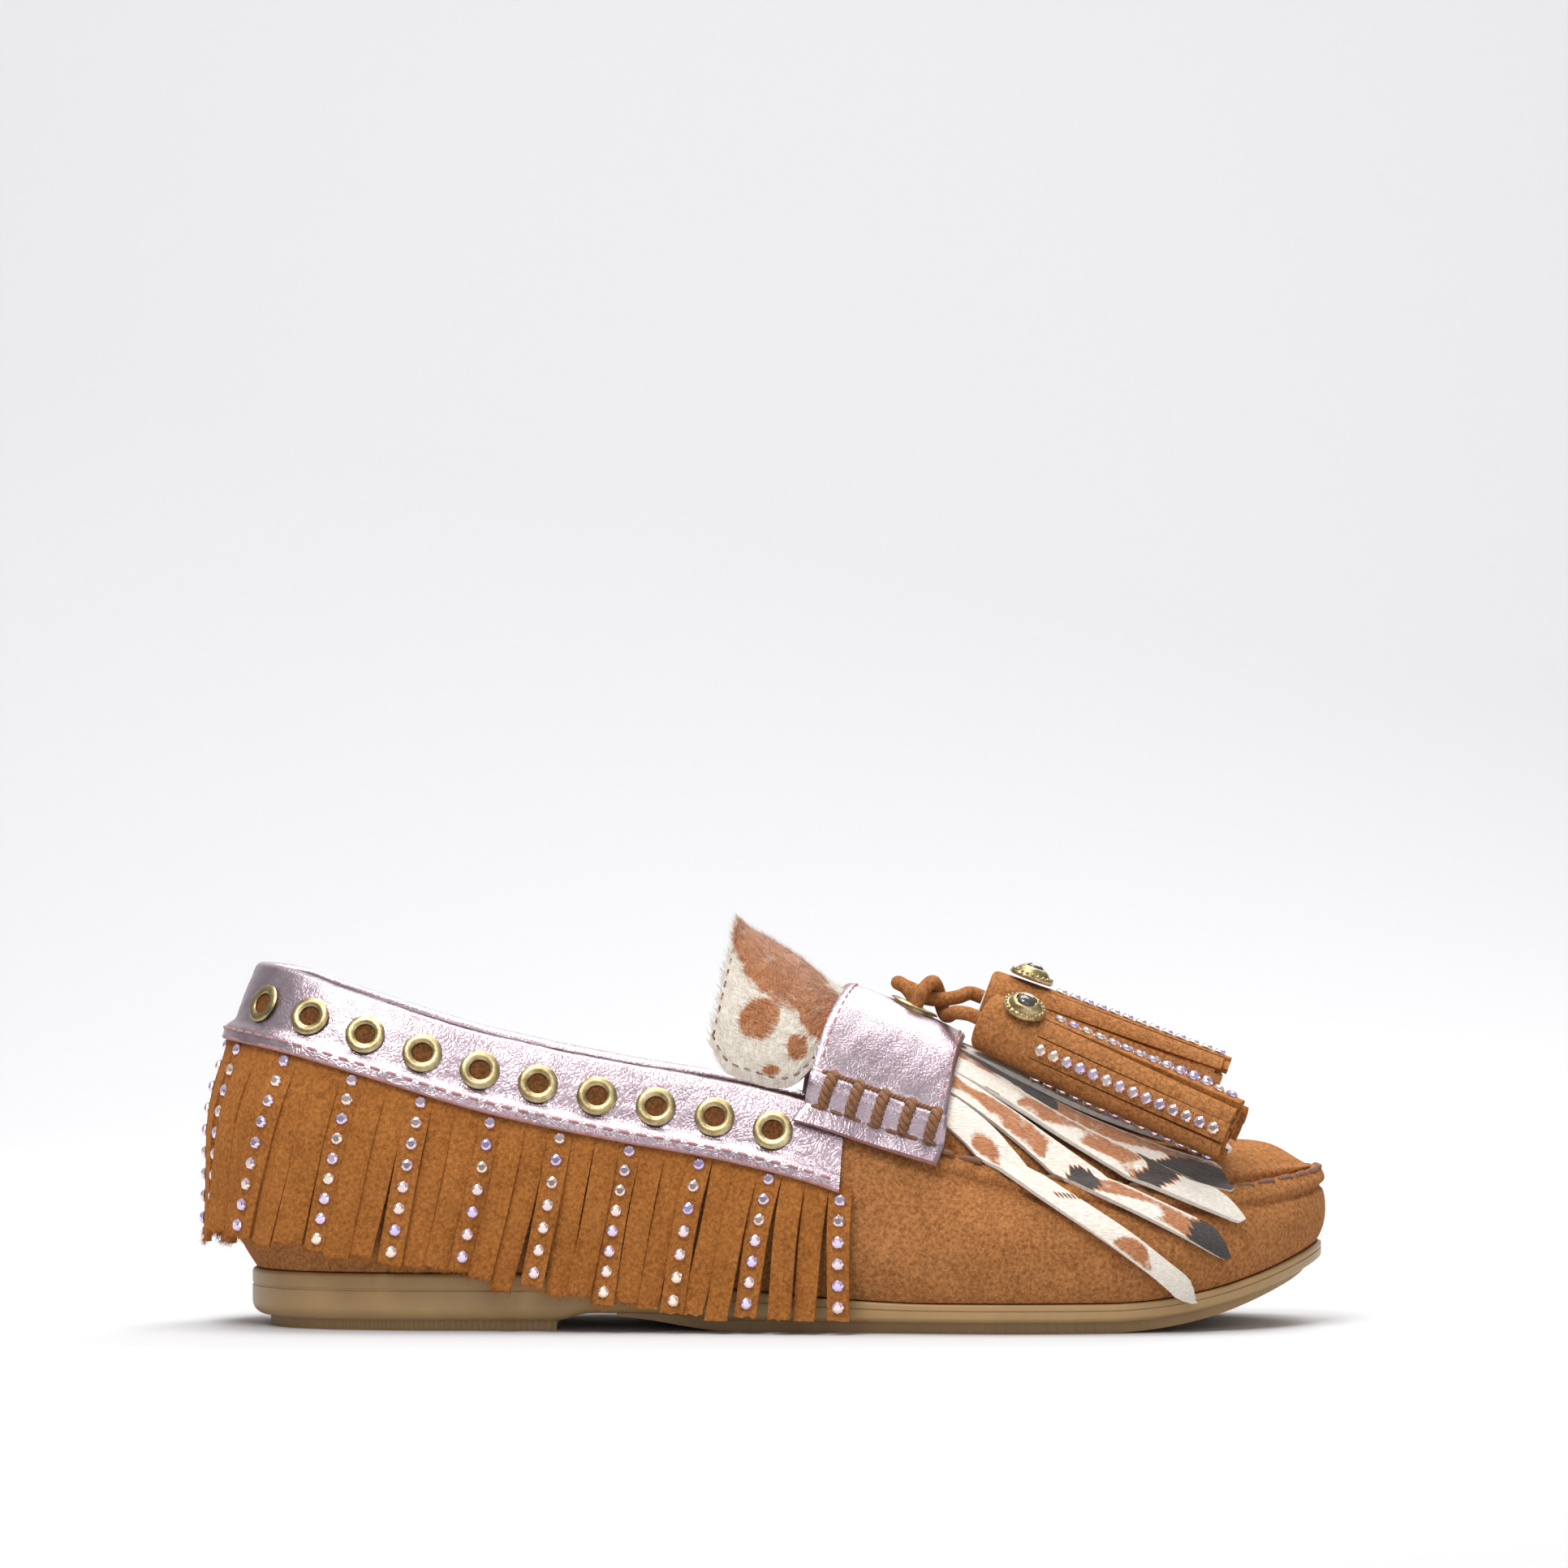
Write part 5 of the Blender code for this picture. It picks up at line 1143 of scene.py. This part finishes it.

# %% [markdown]
# ## The tongue
# The tongue is cow hide with its hair left on. Its foot lies under the strap and its top stands up behind
# it in an arch. Seven rows are worked out from the throat and a short table, and a cubic through them gives
# the smooth sheet. The rust patches are listed ovals in a tint attribute, whose borders noise frays.
# A sculpted sheet would look as good, but it would stay behind when the throat's sizes change.

# %% Tongue
TONGUE_FOOT, TONGUE_THICK, TONGUE_TUCK = 0.598, 0.0014, 0.0056
TONGUE = (
    # crown_share, crown_height, edge_share, edge_height, width
    (0.5120, 1.030, 0.5000, 0.675, 1.00), (0.4830, 1.085, 0.4660, 0.690, 0.99),
    (0.4620, 1.120, 0.4400, 0.725, 0.96), (0.4540, 1.138, 0.4270, 0.800, 0.86),
)


def smooth_rows(rows, count):
    """Cubic through rows of points, along the stack."""
    rows = np.asarray(rows)
    places = np.concatenate([[0], np.cumsum(np.linalg.norm(np.diff(rows, axis=0), axis=2).mean(axis=1))])
    wanted = np.linspace(0, places[-1], count)
    return np.stack([[through(places, rows[:, column, axis], wanted) for axis in range(3)]
                     for column in range(rows.shape[1])]).transpose(2, 0, 1)


# %% Skins of the tongue
TONGUE_ROWS, TONGUE_COLUMNS = 150, 121
across = np.linspace(-1, 1, TONGUE_COLUMNS)
level_ones = np.ones(TONGUE_COLUMNS)
rows = [skin(level_ones * place, 0.74 * across, level_ones * (GAP + TONGUE_THICK))
        for place in (TONGUE_FOOT, 0.5 * (TONGUE_FOOT + 0.540), 0.544)]
bend = across * np.pi / 2
for crown_share, crown_height, edge_share, edge_height, width in TONGUE:
    crown = np.array([SOLE_LENGTH * crown_share - HEEL_SETBACK, BACK_HEIGHT * crown_height])
    edge = np.array([SOLE_LENGTH * edge_share - HEEL_SETBACK, BACK_HEIGHT * edge_height])
    outer = wall(angle_at(edge_share), 1.0)[1] + TONGUE_TUCK
    inner = wall(2 * np.pi - angle_at(edge_share), 1.0)[1] - TONGUE_TUCK
    fall = (1 - np.cos(bend))[:, None]
    flat = crown + (edge - crown) * fall
    sideways = (outer + inner) / 2 + width * (inner - outer) / 2 * np.sin(bend)
    rows.append(np.column_stack([flat[:, 0], sideways, flat[:, 1]]))
tongue_far = smooth_rows(rows, TONGUE_ROWS)
slope_up, slope_side = np.gradient(tongue_far, axis=0), np.gradient(tongue_far, axis=1)
tongue_out = unit(np.cross(slope_up, slope_side))
tongue_out *= np.sign(tongue_out[TONGUE_ROWS // 2, TONGUE_COLUMNS // 2, 2])
tongue_near = tongue_far - tongue_out * TONGUE_THICK


# %% Patches of the hide
def patches(points, rows):
    """Tint of listed ovals: the highest level times 1.5 less the distance, in the oval's own size."""
    value = np.full(points.shape[:-1], -0.2)
    for x, z, length, width, lean, level in rows:
        ahead = (points[..., 0] - x) * np.cos(lean) + (points[..., 2] - z) * np.sin(lean)
        side = (points[..., 2] - z) * np.cos(lean) - (points[..., 0] - x) * np.sin(lean)
        reach = np.sqrt((ahead / length) ** 2 + (side / width) ** 2)
        value = np.maximum(value, level * np.clip(1.5 - reach, -0.5, 1))
    return value


TONGUE_PATCHES = (
    # x, z, half length, half width, lean, tint level
    (0.0865, 0.0870, 0.0155, 0.0088, -0.85, 0.78), (0.0970, 0.0745, 0.0085, 0.0060, -0.9, 0.75),
    (0.0820, 0.0730, 0.0058, 0.0050, 0.9, 0.72), (0.0910, 0.0665, 0.0030, 0.0036, 0.0, 0.66),
    (0.0850, 0.0610, 0.0030, 0.0016, 0.0, 0.62), (0.1000, 0.0650, 0.0030, 0.0022, 0.5, 0.66),
)
tongue_tint = np.minimum(patches(tongue_far, TONGUE_PATCHES), 0.52)
tongue_faces = grid(TONGUE_ROWS, TONGUE_COLUMNS)[:, ::-1]
tongue = leather("tongue", tongue_far, tongue_near, [tongue_faces], tint=tongue_tint, edge=RAW_EDGE)
dress(tongue, HAIR_DOWN, "cow_hair", "tongue")

# %% Stitches along the rim
rim_far = np.concatenate([tongue_far[40:, 3], tongue_far[-3, 3:-3], tongue_far[40:, -4][::-1]])
rim_out = np.concatenate([tongue_out[40:, 3], tongue_out[-3, 3:-3], tongue_out[40:, -4][::-1]])
place_along("tongue stitches", capsule(0.0020, 0.00028), [walk(rim_far, rim_out, 0.0030)], THREAD,
            "cow_hair", "tongue")


# %% Loose hairs
def hairs(skin_points, skin_out, root_rows, way, count, length, seed):
    """Short hairs rooted at seeded places of a sheet, bent from its normal towards a way."""
    chance = np.random.default_rng(seed)
    rows, columns = skin_points.shape[:2]
    row = chance.integers(*root_rows, count)
    column = chance.integers(0, columns, count)
    root, out = skin_points[row, column], skin_out[row, column]
    lie = unit(way[row, column] + 0.35 * out + 0.18 * chance.normal(size=(count, 3)))
    side = unit(np.cross(lie, out)) * 0.00006
    reach = length * chance.uniform(0.5, 1.0, (count, 1))
    tip = root + lie * reach
    half = root + lie * reach * 0.55 + out * 0.0001
    points = np.stack([root - side, root + side, half + 0.7 * side, half - 0.7 * side, tip], axis=1)
    return points, [repeat([[0, 1, 2, 3]], count, 5), repeat([[3, 2, 4]], count, 5)], row, column


down_way = unit(np.gradient(tongue_far, axis=0))
points, faces, row, column = hairs(tongue_far, tongue_out, (30, TONGUE_ROWS), down_way,
                                   count=9000, length=0.0030, seed=5)
tint = np.repeat(tongue_tint[row, column], 5)
dress(make_mesh("tongue hairs", points, faces, tint=tint, sharp=None), HAIR_DOWN, "cow_hair", "tongue")

# %% [markdown]
# ## The kiltie
# The kiltie is a second piece of the cow hide, sewn under the strap's front edge and cut into twelve
# strips that fan out over the toes. The hide is shaved white along its cuts. Each strip has a root and a
# tip in the skin's own terms, and the space between them is shared out by a power of the way down. A fan
# that is cut flat and then bent over the toes would need a hand-made shape for every strip.

# %% Kiltie strips
KILTIE_ROOT, KILTIE_THICK, KILTIE_LIFT = 0.610, 0.0012, 0.0021
KILTIE_STRIP, KILTIE_ROOT_STRIP = 0.0068, 0.004469
KILTIE_STRIPS = (
    # root, tip, tip_share, tint
    (-0.82, -1.80, 0.868, 0.05), (-0.67, -1.44, 0.895, 0.28), (-0.52, -1.20, 0.910, -0.05),
    (-0.37, -0.98, 0.918, 0.40), (-0.22, -0.66, 0.922, 0.10), (-0.08, -0.30, 0.925, 0.50),
    (0.08, 0.06, 0.922, 0.20), (0.22, 0.42, 0.924, -0.05), (0.37, 0.78, 0.920, 0.45),
    (0.52, 1.12, 0.908, 0.10), (0.67, 1.40, 0.890, 0.35), (0.82, 1.74, 0.866, 0.00),
)
KILTIE_ROWS, KILTIE_COLUMNS = 60, 11
chance = np.random.default_rng(17)
part = np.linspace(0, 1, KILTIE_ROWS)[:, None]
wide = np.linspace(-1, 1, KILTIE_COLUMNS)[None, :]
far_rows, near_rows, tints = [], [], []
for root, tip, tip_share, tone in KILTIE_STRIPS:
    half = KILTIE_STRIP / SEAM_REACH / 2 * (1 - 0.35 * np.clip(part - 0.98, 0, 1) / 0.02)
    root_half = KILTIE_ROOT_STRIP / SEAM_REACH / 2
    start_across = root + wide * root_half
    share = KILTIE_ROOT + (tip_share - KILTIE_ROOT) * part * (1 + 0.012 * wide * np.sign(tip))
    place_across = start_across + (tip + wide * half - start_across) * part ** 1.5
    lift = GAP + (KILTIE_LIFT - GAP) * ease(0.05, 0.40, part)
    lift = lift + 0.00050 * (-1) ** len(tints) * ease(0.1, 0.3, part)
    lift = lift + chance.normal(0, 0.00012) * wide * part - 0.00015 * wide ** 2 * ease(0.1, 0.3, part)
    far_rows.append(skin(share, place_across, lift + KILTIE_THICK))
    near_rows.append(skin(share, place_across, lift))
    stretched = far_rows[-1] * np.array([0.30, 1.0, 0.30]) + chance.uniform(0, 1, 3)
    spots = ripple(stretched, 0.0075, 40 + len(tints))
    rust = np.minimum(tone + 0.20 + 0.75 * spots, 0.52)
    dark = ripple(stretched, 0.0085, 70 + len(tints)) > 0.42
    tints.append(np.where(dark, 1.3, rust) - 0.25 * np.abs(wide) ** 6)
far, near = np.stack(far_rows), np.stack(near_rows)
faces = repeat(grid(KILTIE_ROWS, KILTIE_COLUMNS), len(KILTIE_STRIPS), KILTIE_ROWS * KILTIE_COLUMNS)
kiltie = leather("kiltie strips", far, near, [faces[:, ::-1]], tint=np.stack(tints), edge=RAW_EDGE)
dress(kiltie, HAIR_FORWARD, "cow_hair", "kiltie")

# %% [markdown]
# ## The tassels
# Each tassel is a piece of suede slit into strips and rolled up: the uncut part makes a round cap, and the
# strips hang in three layers from it. Crystals run along every second outer strip. The strips are lofts
# along the axis at a radius that grows a little, with a seeded spread, so that the bunch looks cut from
# one hide. A cylinder cut by planes would be quicker, but its strips would all be alike.

# %% Tassels
TASSEL_CAP, TASSEL_RADIUS = 0.0150, 0.0072
TASSEL_SIDES, TASSEL_DOWN, TASSEL_WIDE = 96, 36, 9
TASSEL_LAYERS = (
    # strips, thickness, distance inside the outer skin
    (8, 0.0018, 0.0), (7, 0.0016, 0.0024), (6, 0.0020, 0.0042),
)
BOSS_TILT = {"outer": 0.55, "inner": 0.05}


def tassel_frame(label):
    """Butt, axis, the square direction nearest to up, the one towards the outer side, and the length."""
    butt, end = from_eyelet(TASSELS[label])
    length = float(np.linalg.norm(end - butt))
    axis = (end - butt) / length
    top = unit(np.array([0, 0, 1.0]) - axis * axis[2])
    side = np.cross(axis, top)
    return butt, axis, top, side * (-1 if side[1] > 0 else 1), length


def round_axis(label, distance, angle, radius):
    """Point at a distance along a tassel, an angle from its top towards the outer side and a radius."""
    butt, axis, top, side, _ = tassel_frame(label)
    distance, angle, radius = np.broadcast_arrays(distance, angle, radius)
    out = np.cos(angle)[..., None] * top + np.sin(angle)[..., None] * side
    return butt + distance[..., None] * axis + radius[..., None] * out, out


# %% Cap and strips
def make_tassel(label, seed):
    """Cap, three layers of strips and the crystals of the outer layer."""
    length = tassel_frame(label)[4]
    chance = np.random.default_rng(seed)
    angle = np.linspace(0, 2 * np.pi, TASSEL_SIDES + 1)[None, :-1]
    section = np.array([
        # distance along the axis, part of the radius
        (0.0, 0.0), (0.0, 0.5), (0.0, 0.84), (0.0004, 0.95), (0.0012, 1.0), (0.006, 1.02),
        (0.012, 1.03), (TASSEL_CAP, 1.04), (TASSEL_CAP, 0.8), (TASSEL_CAP, 0.0),
    ])
    overlap = 0.0004 * (1 - angle / (2 * np.pi))
    reach = section[:, 1:] * TASSEL_RADIUS - overlap * (section[:, 1:] > 0.9)
    points, _ = round_axis(label, section[:, :1], angle, reach)
    cap = make_mesh(f"tassel cap {label}", points, [grid(len(section), TASSEL_SIDES, closed=True)[:, ::-1]])
    dress(cap, TAN, "suede", "tassel_" + label)
    far_rows, near_rows, gem_rows = [], [], []
    down = np.linspace(0, 1, TASSEL_DOWN)[:, None]
    wide = np.linspace(-1, 1, TASSEL_WIDE)[None, :]
    hang = length - TASSEL_CAP + 0.001
    for layer, (count, thick, inset) in enumerate(TASSEL_LAYERS):
        pitch = 2 * np.pi / count
        for number in range(count):
            jitter = chance.normal(0, 0.09)
            distance = (TASSEL_CAP - 0.001) + (hang - abs(chance.normal(0, 0.0020))) * down
            swing = jitter * down + chance.normal(0, 0.03) * np.sin(3 * down)
            middle = number * pitch + layer * 0.4 + swing
            angle = middle + wide * pitch / 2 * (0.95 - 0.10 * down)
            radius = TASSEL_RADIUS * (1.04 + 0.15 * down) - inset - 0.00025 * wide ** 2
            radius = radius + chance.uniform(-0.0018, 0.0006) * down * (layer == 0)
            outer, _ = round_axis(label, distance, angle, radius)
            inner, _ = round_axis(label, distance, angle, radius - thick)
            far_rows.append(outer)
            near_rows.append(inner)
            if layer == 0 and number % 2 == 0:
                gem_rows.append(strip_places(outer, inner, TASSEL_WIDE // 2, 0.0033, 0.0014))
    far, near = np.stack(far_rows), np.stack(near_rows)
    faces = repeat(grid(TASSEL_DOWN, TASSEL_WIDE), len(far_rows), TASSEL_DOWN * TASSEL_WIDE)
    strips = leather(f"tassel strips {label}", far, near, [faces], edge=FRINGE_SUEDE)
    dress(strips, TAN, "suede", "tassel_" + label)
    place_along(f"tassel crystals {label}", gem(0.0030), gem_rows, CRYSTAL, "stone", "tassel_" + label,
                sharp=0.01)


make_tassel("outer", 71)
make_tassel("inner", 72)

# %% [markdown]
# ## Loose fibres
# A knife leaves suede with fibres along its cuts. Each fibre here is a ribbon of seven points with a seeded
# root, way and bend, and all of them are one mesh. A hair system would look alike, but it wouldn't export.

# %% Loose fibres of the cut edges
def fuzz(name, roots, ways, count, length, seed, material, slot, *nodes):
    """Curved fibres at seeded roots: each a thin ribbon that leaves along its way and wanders."""
    chance = np.random.default_rng(seed)
    pick = chance.integers(0, len(roots), count)
    root = roots[pick] + chance.normal(0, 0.00015, (count, 3))
    way = unit(unit(ways[pick]) + 0.7 * chance.normal(size=(count, 3)))
    bend = unit(chance.normal(size=(count, 3)))
    reach = length * chance.uniform(0.3, 1.0, (count, 1))
    side = unit(np.cross(way, bend)) * 0.00004
    steps = [root + way * reach * part + bend * reach * 0.35 * part ** 2 for part in (0.0, 0.35, 0.7, 1.0)]
    halves = (-1, 1, -0.8, 0.8, -0.5, 0.5)
    edges = [step + side * half for step, half in zip(np.repeat(steps[:3], 2, axis=0), halves)]
    points = np.stack(edges + [steps[3]], axis=1)
    faces = [repeat([[0, 1, 3, 2], [2, 3, 5, 4]], count, 7), repeat([[4, 5, 6]], count, 7)]
    dress(make_mesh(name, points, faces, sharp=None), material, slot, *nodes)


fringe_out = fringe_far - fringe_near
edge_points = np.concatenate([fringe_far[:, 4:, 0], fringe_far[:, 4:, -1]], axis=1).reshape(-1, 3)
edge_ways = np.concatenate([fringe_out[:, 4:, 0], fringe_out[:, 4:, -1]], axis=1).reshape(-1, 3)
fuzz("fringe edge fibres", edge_points, edge_ways, 7000, 0.0009, 81, FRINGE_SUEDE, "fringe_suede", "fringe")
end_points = fringe_far[:, -1].reshape(-1, 3)
end_ways = np.array([0.0, 0.0, -1.0]) + 0.2 * unit(fringe_out[:, -1].reshape(-1, 3))
low_ends = end_points[:, 2] > 0.0062
fuzz("fringe end fibres", end_points[low_ends], end_ways[low_ends], 4000, 0.0022, 82, FRINGE_SUEDE,
     "fringe_suede", "fringe")

# %% [markdown]
# ## The bosses
# A small oval casting of antique brass sits on each cap, with a beaded rim and a round smoky stone. It is
# a stack of ovals that shrink to the stone's round seat, and the beads are one sphere repeated. It could
# be sculpted once and copied, but ovals from a table turn with each tassel's axis by themselves.

# %% Bosses and stones
BOSS_LENGTH, BOSS_WIDTH, BOSS_HEIGHT, STONE_WIDTH = 0.0107, 0.0084, 0.0030, 0.0044
BOSS_SIDES = 64


def make_boss(label):
    """Oval casting, its beads, and the domed stone."""
    butt, axis, top, side, _ = tassel_frame(label)
    square = top * np.cos(BOSS_TILT[label]) + side * np.sin(BOSS_TILT[label])
    centre = butt + axis * 0.60 * TASSEL_CAP + square * (1.08 * TASSEL_RADIUS + GAP)
    across = np.cross(square, axis)
    turned = np.linspace(0, 2 * np.pi, BOSS_SIDES + 1)[:-1]

    def oval(part, height, wave=0.0):
        long_half = STONE_WIDTH / 2 + (BOSS_LENGTH - STONE_WIDTH) / 2 * part
        wide_half = STONE_WIDTH / 2 + (BOSS_WIDTH - STONE_WIDTH) / 2 * part
        swell = 1 + wave * np.cos(16 * turned)
        return (centre + np.outer(long_half * np.cos(turned) * swell, axis)
                + np.outer(wide_half * np.sin(turned) * swell, across) + square * height)

    levels = (
        # part of the way from the stone to the rim, height, wave
        (0.90, 0.0, 0.0), (1.0, 0.0003, 0.015), (0.98, 0.0009, 0.015), (0.80, 0.0013, 0.01),
        (0.62, 0.0014, 0.0), (0.50, 0.0022, 0.0), (0.25, 0.0029, 0.0), (0.12, 0.0030, 0.0),
        (0.06, 0.0024, 0.0),
    )
    rings = np.stack([oval(*row) for row in levels])
    loop = np.arange(BOSS_SIDES)
    last = (len(levels) - 1) * BOSS_SIDES
    faces = [grid(len(levels), BOSS_SIDES, closed=True), loop[::-1][None], (last + loop)[None]]
    boss = make_mesh(f"boss {label}", rings, faces)
    dress(boss, BRASS, "brass", "boss_" + label)
    ball_turn = np.linspace(0, np.pi, 9)
    ball = [(max(np.sin(a), 0.02) * 0.00042, -np.cos(a) * 0.00042) for a in ball_turn]
    places = oval(0.82, 0.0013)[::3]
    count = len(places)
    beads = scatter(f"boss beads {label}", *revolve(ball, 10), places, np.tile(axis, (count, 1)),
                    np.tile(square, (count, 1)))
    dress(beads, BRASS, "brass", "boss_" + label)
    dome = [(STONE_WIDTH / 2 * np.cos(a), 0.0011 * np.sin(a)) for a in np.linspace(0, 1.5, 10)]
    stone = scatter(f"stone {label}", *revolve([(0.0005, -0.0002)] + dome, 40),
                    (centre + square * (BOSS_HEIGHT - 0.0001))[None], axis[None], square[None])
    dress(stone, STONE, "stone", "stone_" + label)


for label in TASSELS:
    make_boss(label)

# %% [markdown]
# ## Floor and light
# The photo is a catalogue shot: a seamless white sweep, a large soft light above and in front, and a weak
# shadow under the sole. The floor runs back and curves up into the backdrop, so no horizon shows. A white
# world alone would give the same backdrop, but no shadow would set the shoe down.

# %% Stage
sweep = np.concatenate([np.column_stack([np.linspace(-3.0, 0.9, 20), np.zeros(20)]),
                        np.column_stack([0.9 + 0.9 * np.sin(np.linspace(0.1, np.pi / 2, 16)),
                                         0.9 - 0.9 * np.cos(np.linspace(0.1, np.pi / 2, 16))]),
                        [[1.8, 3.0]]])
sides = np.linspace(-3.0, 3.2, 2)
floor_points = np.stack([np.column_stack([np.full(len(sweep), x), sweep]) for x in sides], axis=1)
floor = make_mesh("floor and backdrop", floor_points, [grid(len(sweep), 2)[:, ::-1]], sharp=None)
paper, _, shader, _ = start("white paper", 0.9)
shader.inputs["Base Color"].default_value = (0.61, 0.61, 0.62, 1.0)
floor.data.materials.append(paper)


# %% Lights
def soft_light(name, place, target, size, power):
    """Square white area light that looks at a point."""
    data = bpy.data.lights.new(name, "AREA")
    data.size = size
    data.energy = power
    light = bpy.data.objects.new(name, data)
    scene.collection.objects.link(light)
    light.location = place
    light.rotation_euler = (Vector(target) - Vector(place)).to_track_quat("-Z", "Y").to_euler()


shoe_middle = (0.085, 0.0, 0.045)
soft_light("key from above", (-0.25, -0.75, 1.15), shoe_middle, 0.6, 12)
soft_light("front fill", (0.55, -1.60, 0.50), shoe_middle, 0.9, 4.2)
soft_light("rim from behind", (0.45, 0.75, 0.80), shoe_middle, 0.5, 5)
soft_light("backdrop wash", (0.1, 0.35, 1.7), (0.1, 1.5, 0.3), 1.2, 28)

# %% World
world = scene.world or bpy.data.worlds.new("world")
scene.world = world
world.use_nodes = True
sky = world.node_tree
height = add(sky, "SeparateXYZ", {0: add(sky, "TexCoord").outputs["Generated"]}).outputs["Z"]
glow = ramp(sky, height, ((0.0, 0.30), (0.15, 0.42), (0.75, 1.0)))
sky.links.new(glow, sky.nodes["Background"].inputs["Color"])
sky.nodes["Background"].inputs["Strength"].default_value = 0.56
scene.view_settings.view_transform = "Standard"
